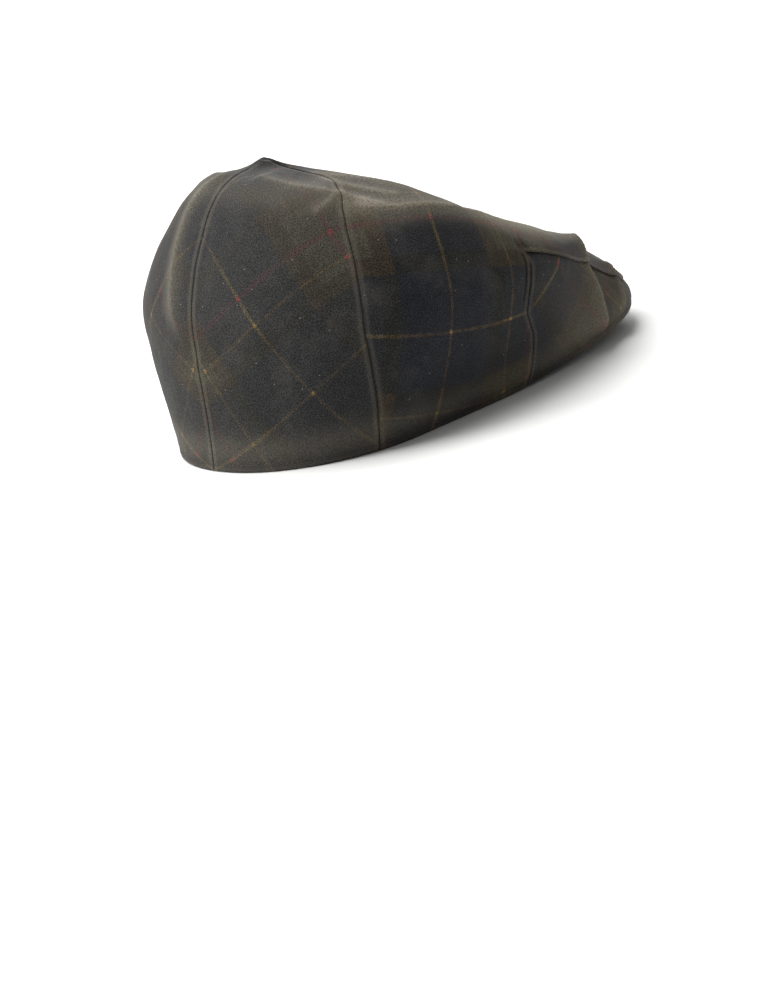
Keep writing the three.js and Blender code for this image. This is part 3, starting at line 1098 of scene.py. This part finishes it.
@dataclass(frozen=True)
class SewingThread:
    """Spun polyester sewing thread, dark and slightly glossy, lightly fuzzed along its length."""

    name: str = "spun_polyester_thread"
    colour: str = "2d2923"
    fuzz_mm: float = 0.6
    shade: tuple[float, float] = (0.7, 1.5)

    def material(self) -> bpy.types.Material:
        """Builds the material."""
        made = blank_material(self.name)
        tree = made.node_tree
        place = add_node(tree, "ShaderNodeTexCoord").outputs["Object"]
        fuzz = add_node(tree, NOISE, Vector=place, Scale=1 / (self.fuzz_mm * MM), Detail=2)
        colour = shaded(tree, linear(self.colour)[:3], fuzz, self.shade, (0.3, 0.7))
        shader = add_node(tree, "ShaderNodeBsdfPrincipled", Base_Color=colour, Roughness=0.55, IOR=1.5)
        add_node(tree, "ShaderNodeOutputMaterial", Surface=shader)
        return made


@dataclass(frozen=True)
class StudioPaper:
    """Seamless white background paper, matt and even."""

    name: str = "white_background_paper"
    colour: str = "e2e2e0"

    def material(self) -> bpy.types.Material:
        """Builds the material."""
        made = bpy.data.materials.new(self.name)
        made.use_nodes = True
        shader = made.node_tree.nodes["Principled BSDF"]
        shader.inputs["Base Color"].default_value = linear(self.colour)
        shader.inputs["Roughness"].default_value = 0.9
        shader.inputs["Specular IOR Level"].default_value = 0.1
        return made


def piece_object(name: str, mesh: bpy.types.Mesh, materials: list[bpy.types.Material]) -> bpy.types.Object:
    """Puts a mesh with its materials in the scene, at the origin.

    Args:
        name: the object's name.
        mesh: its mesh, in metres.
        materials: the materials, in the order of the mesh's material numbers.

    Returns:
        The object.
    """
    for material in materials:
        mesh.materials.append(material)
    made = bpy.data.objects.new(name, mesh)
    bpy.context.scene.collection.objects.link(made)
    return made


@dataclass
class Shell:
    """A closed shell of cloth over some cells of a net: an outer skin, an inner skin and the edge between."""

    outer: np.ndarray
    inner: np.ndarray
    present: np.ndarray
    flat: np.ndarray
    marks: dict[str, np.ndarray]
    ring: bool
    pole: bool

    def mesh(self, name: str) -> bpy.types.Mesh:
        """Builds the mesh, with the cloth's flat places as its UV map and its marks as attributes.

        Args:
            name: the mesh's name.

        Returns:
            The mesh, in metres. Material 0 is on the outer skin and the edges, 1 on the inner skin.
        """
        index = self.corner_numbers()
        used = np.unique(index[index >= 0])
        renumber = np.full(index.max() + 1, -1)
        renumber[used] = np.arange(len(used))
        rows, columns = np.unravel_index(used, self.outer.shape[:2])
        count = len(used)
        points = np.concatenate([self.outer[rows, columns], self.inner[rows, columns]]) * MM
        quads, places, inside = self.faces(np.where(index >= 0, renumber[index], -1), count)
        made = bpy.data.meshes.new(name)
        faces, uvs = [], []
        for quad, place in zip(quads.tolist(), places.tolist()):
            kept = [k for k in range(4) if quad[k] != quad[k - 1]]
            faces.append([quad[k] for k in kept])
            uvs.extend(place[k] for k in kept)
        made.from_pydata(points.tolist(), [], faces)
        layer = made.uv_layers.new(name="cloth")
        layer.data.foreach_set("uv", (np.array(uvs) * MM).astype(np.float32).ravel())
        for mark, amount in self.marks.items():
            values = np.concatenate([amount[rows, columns], np.zeros(count)]).astype(np.float32)
            made.attributes.new(mark, "FLOAT", "POINT").data.foreach_set("value", values)
        made.polygons.foreach_set("use_smooth", inside != 2)
        made.polygons.foreach_set("material_index", (inside == 1).astype(np.int32))
        made.update()
        made.validate()
        return made

    def corner_numbers(self) -> np.ndarray:
        """The number of each corner, which corners on one point share, or -1 where no cell is."""
        rows, columns = self.outer.shape[:2]
        index = np.arange(rows * columns).reshape(rows, columns)
        if self.ring:
            index[:, -1] = index[:, 0]
        if self.pole:
            index[-1, :] = index[-1, 0]
        return np.where(corners_of(self.present), index, -1)

    def faces(self, index: np.ndarray, count: int) -> tuple[np.ndarray, np.ndarray, np.ndarray]:
        """The faces of both skins and of the edges.

        Args:
            index: the number of each corner's outer point.
            count: how far the inner points' numbers are from the outer ones.

        Returns:
            The corners of each face, their flat places, and 0 for outer, 1 for inner and 2 for edge faces.
        """
        row, column = np.nonzero(self.present)
        corner = np.stack([index[row + r, column + c] for r, c in CELL_STEPS], axis=1)
        flat = np.stack([self.flat[row + r, column + c] for r, c in CELL_STEPS], axis=1)
        quads, places = [corner, corner[:, ::-1] + count], [flat, flat[:, ::-1]]
        kinds = [np.zeros(len(row), int), np.ones(len(row), int)]
        for side, (down, across) in enumerate(((-1, 0), (0, 1), (1, 0), (0, -1))):
            bare = ~self.neighbour(row + down, column + across)
            one, other = corner[bare, side], corner[bare, (side + 1) % 4]
            real = one != other
            one, other = one[real], other[real]
            quads.append(np.stack([other, one, one + count, other + count], axis=1))
            here, there = flat[bare, side][real], flat[bare, (side + 1) % 4][real]
            places.append(np.stack([there, here, here, there], axis=1))
            kinds.append(np.full(len(one), 2))
        return np.concatenate(quads), np.concatenate(places), np.concatenate(kinds)

    def neighbour(self, row: np.ndarray, column: np.ndarray) -> np.ndarray:
        """Finds whether a cell of the piece lies at each place.

        Args:
            row: the row of each place.
            column: its column.

        Returns:
            True or False for each place.
        """
        rows, columns = self.present.shape
        if self.ring:
            column = column % columns
        known = (row >= 0) & (row < rows) & (column >= 0) & (column < columns)
        return known & self.present[np.clip(row, 0, rows - 1), np.clip(column, 0, columns - 1)]


@dataclass
class SewnPanel:
    """One sewn panel of the cap, as a shell of cloth with rolled seams and a turned hem.

    Attributes:
        finish: the cloth.
        seams: how wide and how deep the cloth rolls at the seam at each whole place.
        hem_step: how long the step is from the turned hem to the plain cloth.
        edge_wall: how thin the top panel's cloth gets at its front edge, over edge_taper.
        lap_gap: the gap below the lapped front edge.
        seam_gap: how far each panel is drawn back from a seam.
        swell: the cloth that stands up beside a seam's roll.
        apex_calm: how far from the apex the rolls start, and calm_span to where they are whole.
        hem_groove: the stitch line of the hem.
        hem_ripple: the slight waves above it, ripple_length long and drawn out over ripple_drift.
        strip_groove: the stitch line behind the temple seam, between the two strip_levels.
        pinch_place: how far the pinched spot lies behind the temple seam and above the front edge.
        pinch_slant: how much longer than wide the pinched spot is.
    """

    name: str
    node: str
    slot: str
    panel: Panel
    net: CrownNet
    drape: Drape
    finish: WaxedCheck
    seams: dict[int, tuple[float, float]]
    flattener: Flattener = field(default_factory=Flattener)
    cloth_wall: float = 2.0
    hem_wall: float = 3.2
    hem_depth: float = 14.0
    hem_step: float = 1.2
    edge_wall: float = 1.0
    edge_taper: float = 10.0
    lap_gap: float = 0.25
    seam_gap: float = 0.08
    swell: Band = Band(0.07, 1.0, 1.4)
    apex_calm: float = 2.5
    calm_span: float = 12.0
    hem_roll: tuple[float, float] = (2.0, 1.25)
    edge_roll: tuple[float, float] = (1.8, 0.8)
    stitch_height: float = 4.4
    hem_groove: Band = Band(0.3, 4.4, 0.8)
    hem_ripple: Band = Band(0.13, 7.9, 3.0)
    ripple_length: float = 9.3
    ripple_drift: float = 31.0
    strip_levels: tuple[float, float] = (0.34, 0.58)
    strip_fade: float = 0.03
    strip_width: float = 4.2
    strip_edge: float = 0.8
    strip_groove: Band = Band(1.0, 4.4, 0.75)
    pinch_place: tuple[float, float] = (2.4, 3.0)
    pinch_slant: float = 2.2
    pinch: Band = Band(1.0, 0.0, 1.9)
    seam_painted_shade: Band = Band(0.3, 0.0, 0.35)
    lap_painted_shade: Band = Band(0.8, 0.0, 1.1)
    seam_wear: Band = Band(0.16, 2.0, 1.2)
    hem_wear: Band = Band(0.14, 1.6, 1.0)
    band_wear: Band = Band(0.2, 12.0, 9.0)
    edge_wear: Band = Band(0.3, 1.0, 0.9)

    def lift(self) -> np.ndarray:
        """How far the front edge's lap lifts or sinks this panel."""
        net = self.net
        if self.panel is Panel.TOP:
            return net.lift * net.near_edge
        if self.panel is Panel.COVER:
            under = self.cloth_wall - self.thinned() + self.lap_gap
            row = np.arange(net.shape[0])[:, None]
            below = (net.lift - under) * net.near_edge
            return np.where(row < net.low_rows, below, net.lift * net.near_edge - under)
        return np.zeros(net.shape)

    def thinned(self) -> np.ndarray:
        """How much thinner the top panel's cloth gets towards its front edge."""
        net = self.net
        near = 1 - smooth(net.above_edge / self.edge_taper)
        return (self.cloth_wall - self.edge_wall) * near * net.opened

    def roll(self) -> np.ndarray:
        """The drop at the panel's seams, its hem and, on the top panel, its front edge."""
        net = self.net
        drop = np.zeros(net.shape)
        from_apex = np.linalg.norm(net.points - np.array(net.crown.apex), axis=-1)
        clear = smooth((from_apex - self.apex_calm) / self.calm_span)
        for place, (width, depth) in self.seams.items():
            away = net.from_seam(place)
            seam_here = np.ones(net.shape, bool)
            if place in net.temples:
                seam_here = np.arange(net.shape[0])[:, None] <= net.low_rows
            drop += np.where(seam_here, rolled(away, width, depth) + self.swell.at(away - width), 0) * clear
        along = net.round_row[:1]
        waves = np.sin(along * 2 * math.pi / self.ripple_length + 2 * np.sin(along / self.ripple_drift))
        drop += rolled(net.above_hem, *self.hem_roll) - self.hem_groove.at(net.above_hem)
        drop += waves * self.hem_ripple.at(net.above_hem)
        if self.panel is Panel.TOP:
            front = net.from_temple[None, :] > 0
            drop += np.where(front & (net.above_edge >= 0), rolled(net.above_edge, *self.edge_roll), 0)
            drop -= self.strip(0.25, 0.7) + self.pinched()
        return drop

    def strip(self, whole: float, groove: float) -> np.ndarray:
        """The narrow strip of cloth behind the temple seam, below the front edge, and its far stitch line.

        Args:
            whole: the amount over the whole strip.
            groove: the amount that the stitch line has more.

        Returns:
            The amount at each corner.
        """
        net = self.net
        foot, head = self.strip_levels
        tall = smooth((net.level - foot) / self.strip_fade) * smooth((head - net.level) / self.strip_fade)
        amount = np.zeros(net.shape)
        for place in net.temples:
            away = net.from_seam(place)
            inside = smooth((self.strip_width - away) / self.strip_edge)
            amount += tall * (whole * inside + groove * self.strip_groove.at(away))
        return amount * (net.from_temple[None, :] == 0)

    def pinched(self) -> np.ndarray:
        """The pinched spot where the front edge starts at the temple, from 0 to 1."""
        net = self.net
        behind, above = self.pinch_place
        up = (net.above_edge - above) / self.pinch_slant
        return sum(self.pinch.at(np.hypot(net.from_seam(place) - behind, up)) for place in net.temples)

    def painted_shade(self) -> np.ndarray:
        """The painted shade: in the seams, under the front edge, behind the temple seam and by the folds."""
        net = self.net
        # Painted shade in the seams' grooves, added to the drape's painted shade round the apex and beside
        # creases.
        dark = self.drape.painted_shade + sum(self.seam_painted_shade.at(net.from_seam(place)) for place in self.seams)
        if self.panel is Panel.COVER:
            # Painted shadow under the top panel's lapped front edge.
            dark += self.lap_painted_shade.at(net.above_edge)
        if self.panel is Panel.TOP:
            # Painted shade in the stitch line behind the temple seam and in the pinched spot.
            dark += self.strip(0.1, 1.1) + 0.8 * self.pinched()
        return np.clip(dark, 0, 1)

    def wear_and_painted_light(self) -> np.ndarray:
        """How pale the cloth is: wear along folds, beside seams and on the edges, and the drape's painted
        light.
        """
        net = self.net
        pale = self.drape.wear_and_painted_light + sum(self.seam_wear.at(net.from_seam(place)) for place in self.seams)
        pale += self.hem_wear.at(net.above_hem) + self.band_wear.at(net.above_hem)
        if self.panel is Panel.TOP:
            pale += self.edge_wear.at(net.above_edge) * (net.from_temple[None, :] > 0)
        return np.clip(pale, 0, 1)

    def skins(self) -> tuple[np.ndarray, np.ndarray]:
        """The outer and the inner skin of the cloth."""
        net = self.net
        calm = self.drape.height + self.lift()
        outer = net.points + net.normals * (calm + self.roll())[..., None]
        hem = smooth((self.hem_depth - net.above_hem) / self.hem_step + 0.5)
        wall = self.cloth_wall + (self.hem_wall - self.cloth_wall) * hem
        if self.panel is Panel.TOP:
            wall = wall - self.thinned()
        inner = net.points + net.normals * (calm - wall)[..., None]
        return self.drawn_back(outer), self.drawn_back(inner)

    def drawn_back(self, skin: np.ndarray) -> np.ndarray:
        """Draws a skin's seam edges back by half the gap of the seam.

        Args:
            skin: the corners of the skin.

        Returns:
            The corners with those of the seam edges moved.
        """
        moved = skin.copy()
        first, last = (self.net.column(int(place)) for place in self.panel.value)
        for column, step in ((first, 1), (last, -1)):
            inward = skin[:, (column + step) % skin.shape[1]] - skin[:, column]
            length = np.maximum(np.linalg.norm(inward, axis=-1, keepdims=True), 1e-6)
            moved[:, column] += inward / length * np.minimum(self.seam_gap, 0.4 * length)
        if self.panel is Panel.TOP:
            moved[-3:] = skin[-3:]
        return moved

    def flat_places(self) -> np.ndarray:
        """The place of each corner on the flat cloth, turned so that the panel's middle stands upright."""
        net = self.net
        cells = net.covers(self.panel).copy()
        first, last = (net.column(int(place)) for place in self.panel.value)
        cells[:, :first] = False
        cells[:, last:] = False
        top = self.panel is Panel.TOP
        flat = self.flattener.lay_out(net.points, cells, top)
        present = corners_of(cells)
        flat = self.upright(flat, present)
        if top:
            beside = net.points[..., :2] - np.array(net.crown.apex[:2])
            flat = np.where(present[..., None], flat, flat[-1, net.column(3)] + beside)
        return flat

    def upright(self, flat: np.ndarray, present: np.ndarray) -> np.ndarray:
        """Turns the laid-out panel so that the line that its check is set by stands upright.

        Args:
            flat: the flat places.
            present: which corners belong to the panel.

        Returns:
            The turned places, from the foot of that line.
        """
        column = {Panel.REAR_RIGHT: 0, Panel.REAR_LEFT: flat.shape[1] - 1}.get(self.panel, self.net.column(3))
        line = flat[present[:, column], column]
        up = (line[-1] - line[0]) / np.linalg.norm(line[-1] - line[0])
        across = np.array([up[1], -up[0]])
        return (flat - line[0]) @ np.stack([across, up], axis=1)

    def build(self, inside: bpy.types.Material) -> bpy.types.Object:
        """Builds the panel and dresses it.

        Args:
            inside: the material of the inner skin.

        Returns:
            The finished piece.
        """
        outer, inner = self.skins()
        top = self.panel is Panel.TOP
        # The marks: pale wear with painted light, and painted shade.
        marks = {"wear_and_painted_light": self.wear_and_painted_light(), "painted_shade": self.painted_shade()}
        shell = Shell(outer, inner, self.net.covers(self.panel), self.flat_places(), marks, top, top)
        piece = piece_object(self.name, shell.mesh(self.name), [self.finish.material(), inside])
        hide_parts(self.node)
        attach(piece, "root")
        LOG.info("%s: %d faces", self.name, len(piece.data.polygons))
        return piece


@dataclass
class PeakBoard:
    """The stiff peak below its cover: a bent board in its under cloth, with soft edges.

    Attributes:
        end_angle: where the rim ends at each side.
        rim_inset: how far the rim lies inside the crown's hem, and top_inset how much more its upper face.
        brow_half: half the width between the ends of the forehead edge.
        brow_round: how full that edge curves.
        column_step: how far the columns stand apart at the ends of the board.
        edge_round: how far from an edge the board starts to thin, and thin_edge the share left there.
        seam: the line of stitches along the edges, pressed into the under cloth.
    """

    name: str
    net: CrownNet
    material: bpy.types.Material
    columns: int = 120
    rows: int = 26
    thickness: float = 3.2
    end_angle: float = 139.0
    rim_lift: float = 0.6
    rim_inset: float = 4.2
    top_inset: float = 2.4
    brow_half: float = 62.0
    brow_side_y: float = -24.0
    brow_front_y: float = -75.0
    brow_round: float = 2.4
    brow_side_z: float = 1.4
    brow_front_z: float = 15.0
    column_step: float = 2.4
    edge_round: float = 1.6
    thin_edge: float = 0.2
    seam: Band = Band(0.25, 5.0, 0.8)

    def depths(self) -> np.ndarray:
        """How far each row is from the rim to the forehead edge, 0 to 1."""
        return np.concatenate([graded(self.rows, True, 0.8), [1.0]])

    def plate(self, on_top: bool) -> np.ndarray:
        """Works out a face of the board.

        Args:
            on_top: whether it is the upper face.

        Returns:
            Its corners, as rows from the rim to the forehead edge.
        """
        share = np.linspace(-1, 1, self.columns + 1)
        ring = self.net.crown.rings[0]
        angle = 180 - share * (180 - self.end_angle)
        rim = ring.points(angle)
        line = ring.points(angle + 1) - ring.points(angle - 1)
        inward = np.stack([-line[:, 1], line[:, 0], np.zeros(len(share))], axis=1)
        inward /= np.linalg.norm(inward, axis=1, keepdims=True)
        rim = rim + inward * (self.rim_inset + (self.top_inset if on_top else 0)) + (0, 0, self.rim_lift)
        turn = share * math.pi / 2
        front = np.abs(np.cos(turn)) ** (2 / self.brow_round)
        brow = np.stack(
            [
                -np.sign(share) * self.brow_half * np.abs(np.sin(turn)) ** (2 / self.brow_round),
                self.brow_side_y + (self.brow_front_y - self.brow_side_y) * front,
                self.brow_side_z + (self.brow_front_z - self.brow_side_z) * front,
            ],
            axis=1,
        )
        plate = rim + (brow - rim) * self.depths()[:, None, None]
        return plate + (0, 0, self.thickness if on_top else 0)

    def build(self) -> bpy.types.Object:
        """Builds the board and dresses it."""
        upper, lower = self.plate(True), self.plate(False)
        middle = (upper + lower) / 2
        width = np.linalg.norm(np.diff(lower, axis=0), axis=-1).sum(axis=0)
        from_rim = self.depths()[:, None] * width
        count = np.arange(self.columns + 1)
        from_end = np.minimum(count, count[::-1]) * self.column_step
        away = np.minimum(np.minimum(from_rim, width - from_rim), from_end[None, :])
        inwards = 1 - np.clip(away / self.edge_round, 0, 1)
        fullness = (self.thin_edge + (1 - self.thin_edge) * np.sqrt(1 - inwards**2))[..., None]
        upper = middle + (upper - middle) * fullness
        lower = middle + (lower - middle) * fullness + (0, 0, 1) * self.seam.at(away)[..., None]
        flat = lower[..., :2] - lower[0, self.columns // 2, :2]
        present = np.ones((self.rows, self.columns), bool)
        shell = Shell(upper[:, ::-1], lower[:, ::-1], present, flat[:, ::-1], {}, False, False)
        piece = piece_object(self.name, shell.mesh(self.name), [self.material, self.material])
        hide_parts("peak")
        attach(piece, "root")
        LOG.info("%s: %d faces", self.name, len(piece.data.polygons))
        return piece


@dataclass
class Stitching:
    """A run of stitches along a line of points, set out by Geometry Nodes."""

    name: str
    material: bpy.types.Material
    pitch_mm: float = 3.0
    stitch_mm: float = 2.3
    thread_mm: float = 0.5

    def tree(self) -> bpy.types.NodeTree:
        """Builds the node tree: the line is cut into even steps, and a stitch lies on each."""
        tree = bpy.data.node_groups.new(self.name, "GeometryNodeTree")
        sockets = tree.interface
        sockets.new_socket("Line", in_out="INPUT", socket_type="NodeSocketGeometry")
        for name in ("Pitch", "Stitch", "Thread"):
            sockets.new_socket(name, in_out="INPUT", socket_type="NodeSocketFloat")
        sockets.new_socket("Material", in_out="INPUT", socket_type="NodeSocketMaterial")
        sockets.new_socket("Stitches", in_out="OUTPUT", socket_type="NodeSocketGeometry")
        given = add_node(tree, "NodeGroupInput").outputs
        curve = add_node(tree, "GeometryNodeMeshToCurve", Mesh=given["Line"])
        by_length = {"mode": "LENGTH"}
        even = add_node(tree, "GeometryNodeResampleCurve", by_length, Curve=curve, Length=given["Pitch"])
        tangent = add_node(tree, "GeometryNodeInputTangent")
        turned = add_node(tree, "FunctionNodeAlignRotationToVector", {"axis": "X"}, Vector=tangent)
        ball = add_node(tree, "GeometryNodeMeshUVSphere", Segments=8, Rings=5, Radius=0.5)
        long, thick = given["Stitch"], given["Thread"]
        laid = add_node(
            tree,
            "GeometryNodeInstanceOnPoints",
            Points=even,
            Instance=ball,
            Rotation=turned,
            Scale=add_node(tree, "ShaderNodeCombineXYZ", X=long, Y=thick, Z=thick),
        )
        real = add_node(tree, "GeometryNodeRealizeInstances", Geometry=laid)
        dressed = add_node(tree, "GeometryNodeSetMaterial", Geometry=real, Material=given["Material"])
        add_node(tree, "NodeGroupOutput", Stitches=dressed)
        return tree

    def build(self, lines: list[np.ndarray]) -> bpy.types.Object:
        """Lays the stitches along closed lines and turns them to one plain mesh.

        Args:
            lines: the points of each line, in millimetres.

        Returns:
            The finished piece.
        """
        points, edges = [], []
        for line in lines:
            start = len(points)
            points.extend((line * MM).tolist())
            edges.extend((start + k, start + (k + 1) % len(line)) for k in range(len(line)))
        path = bpy.data.meshes.new(self.name + "_line")
        path.from_pydata(points, edges, [])
        carrier = bpy.data.objects.new(self.name + "_line", path)
        bpy.context.scene.collection.objects.link(carrier)
        modifier = carrier.modifiers.new("stitches", "NODES")
        modifier.node_group = self.tree()
        names = {item.name: item.identifier for item in modifier.node_group.interface.items_tree}
        modifier[names["Pitch"]] = self.pitch_mm * MM
        modifier[names["Stitch"]] = self.stitch_mm * MM
        modifier[names["Thread"]] = self.thread_mm * MM
        modifier[names["Material"]] = self.material
        graph = bpy.context.evaluated_depsgraph_get()
        made = bpy.data.meshes.new_from_object(carrier.evaluated_get(graph))
        bpy.data.objects.remove(carrier)
        made.name = self.name
        made.polygons.foreach_set("use_smooth", np.ones(len(made.polygons), bool))
        piece = bpy.data.objects.new(self.name, made)
        bpy.context.scene.collection.objects.link(piece)
        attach(piece, "root")
        LOG.info("%s: %d faces", self.name, len(made.polygons))
        return piece


@dataclass
class FlatCap:
    """The whole cap: its sewn panels, its peak and its hem stitching."""

    net: CrownNet = field(default_factory=CrownNet)

    def panels(self) -> list[SewnPanel]:
        """The sewn panels, with how wide and deep the cloth rolls at each seam."""
        drape = Drape(self.net)
        rear = {0: (1.0, 0.3), 6: (1.0, 0.3), 1: (1.4, 0.6), 5: (1.4, 0.6)}
        top = {1: (0.9, 0.4), 5: (0.9, 0.4), 2: (0.7, 0.3), 4: (0.7, 0.3)}
        cover = {2: (0.8, 0.3), 4: (0.8, 0.3)}
        right_cloth = WaxedCheck("waxed_cotton_check_right", 45.0, (31.0, 75.0), haze=0.34)
        left_cloth = WaxedCheck("waxed_cotton_check_left", 45.0, (31.0, 75.0), mirrored=True, haze=0.34)
        top_cloth = WaxedCheck("waxed_cotton_check_top", 0.0, (50.9, 90.5))
        peak_cloth = WaxedCheck("waxed_cotton_check_peak", 45.0, (50.0, 36.0))
        rows = (
            ("rear_right_cloth", "rear_panel_right", "waxed_check_rear", Panel.REAR_RIGHT, right_cloth, rear),
            ("rear_left_cloth", "rear_panel_left", "waxed_check_rear", Panel.REAR_LEFT, left_cloth, rear),
            ("top_cloth", "top_panel", "waxed_check_top", Panel.TOP, top_cloth, top),
            ("peak_cover_cloth", "peak_cover", "waxed_check_peak", Panel.COVER, peak_cloth, cover),
        )
        return [
            SewnPanel(name, node, slot, panel, self.net, drape, finish, seams)
            for name, node, slot, panel, finish, seams in rows
        ]

    def build(self) -> None:
        """Builds and dresses every piece."""
        inside = PlainCloth("brushed_cotton_reverse", "3a362f").material()
        lines: dict[Panel, np.ndarray] = {}
        for panel in self.panels():
            panel.build(inside)
            lines[panel.panel] = self.hem_line(panel)
        stretches = (
            (Panel.REAR_RIGHT, 0, 1),
            (Panel.TOP, 1, 2),
            (Panel.COVER, 2, 4),
            (Panel.TOP, 4, 5),
            (Panel.REAR_LEFT, 5, 6),
        )
        column = self.net.column
        parts = [lines[panel][column(first) : column(last)] for panel, first, last in stretches]
        thread = SewingThread().material()
        stitching = Stitching("hem_stitching", thread).build([np.concatenate(parts)])
        PeakBoard("peak_board", self.net, PlainCloth("plain_waxed_cotton", "35312b").material()).build()

    def hem_line(self, panel: SewnPanel) -> np.ndarray:
        """The line on the outside of a panel that the hem's stitches follow.

        Args:
            panel: the panel.

        Returns:
            A point for each column of the net.
        """
        outer, _ = panel.skins()
        above, height = self.net.above_hem, panel.stitch_height
        columns = range(outer.shape[1])
        return np.array(
            [[np.interp(height, above[:, c], outer[:, c, axis]) for axis in range(3)] for c in columns]
        )


@dataclass(frozen=True)
class Studio:
    """A white floor, soft light from above and the camera at the photograph's angle."""

    azimuth_deg: float = 230.692
    elevation_deg: float = 14.137
    roll_deg: float = -11.107
    pixels_per_metre: float = 1833.0
    distance: float = 2.8444
    target: tuple[float, float, float] = (0.0, 0.0088, 0.0618)
    target_pixel: tuple[float, float] = (377.15, 285.2)
    photo_size: tuple[int, int] = (773, 1000)
    sensor_mm: float = 36.0

    def camera(self) -> None:
        """Places the camera. It is turned, not shifted, to put the cap where the photograph has it."""
        a, e, roll = (math.radians(x) for x in (self.azimuth_deg, self.elevation_deg, self.roll_deg))
        back = Vector((math.sin(a) * math.cos(e), -math.cos(a) * math.cos(e), math.sin(e)))
        right = Vector((math.cos(a), math.sin(a), 0))
        up = back.cross(right)
        right, up = (
            right * math.cos(roll) + up * math.sin(roll),
            up * math.cos(roll) - right * math.sin(roll),
        )
        focal = self.pixels_per_metre * self.distance
        wide, high = (size / 2 - place for size, place in zip(self.photo_size, self.target_pixel))
        ahead = (right * wide - up * high - back * focal).normalized()
        level = (right - ahead * right.dot(ahead)).normalized()
        turn = Matrix((level, level.cross(ahead), -ahead)).transposed()
        data = bpy.data.cameras.new("camera")
        data.sensor_width = self.sensor_mm
        data.lens = focal * self.sensor_mm / max(self.photo_size)
        camera = bpy.data.objects.new("camera", data)
        camera.matrix_world = Matrix.Translation(Vector(self.target) + back * self.distance) @ turn.to_4x4()
        bpy.context.scene.collection.objects.link(camera)
        bpy.context.scene.camera = camera

    def floor(self) -> None:
        """Lays the floor, a wide round sheet."""
        count, radius = 64, 9.0
        turns = [2 * math.pi * k / count for k in range(count)]
        mesh = bpy.data.meshes.new("floor")
        rim = [(radius * math.cos(t), radius * math.sin(t), 0.0) for t in turns]
        mesh.from_pydata(rim, [], [list(range(count))])
        piece_object("floor", mesh, [StudioPaper().material()])

    def light(
        self,
        name: str,
        place: tuple[float, float, float],
        size: float,
        power: float,
        aim: tuple[float, float, float] | None = None,
    ) -> None:
        """Adds a square soft light.

        Args:
            name: the light's name.
            place: where it stands, in metres.
            size: its side, in metres.
            power: its power, in watts.
            aim: what it faces, the cap if nothing is given.
        """
        data = bpy.data.lights.new(name, "AREA")
        data.size = size
        data.energy = power
        lamp = bpy.data.objects.new(name, data)
        lamp.location = place
        lamp.rotation_mode = "QUATERNION"
        lamp.rotation_quaternion = (Vector(place) - Vector(aim or self.target)).to_track_quat("Z", "Y")
        bpy.context.scene.collection.objects.link(lamp)

    def build(self) -> None:
        """Builds the floor, the lights, the sky and the camera."""
        self.floor()
        self.light("overhead", (0.45, 0.45, 2.4), 1.8, 80.0)
        self.light("from_the_left", (1.5, 2.4, 1.3), 1.4, 72.0)
        self.light("background_wash", (3.6, -2.9, 2.4), 3.0, 260.0, (3.6, -2.9, 0.0))
        world = bpy.data.worlds.new("studio")
        world.use_nodes = True
        sky = world.node_tree.nodes["Background"]
        sky.inputs["Color"].default_value = linear("f6f7f8")
        sky.inputs["Strength"].default_value = 0.35
        bpy.context.scene.world = world
        bpy.context.scene.view_settings.view_transform = "Standard"
        self.camera()


def main() -> None:
    """Builds the studio and the cap."""
    logging.basicConfig(level=logging.INFO, format="%(name)s %(message)s")
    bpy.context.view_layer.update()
    Studio().build()
    FlatCap().build()


if __name__ == "__main__":
    main()
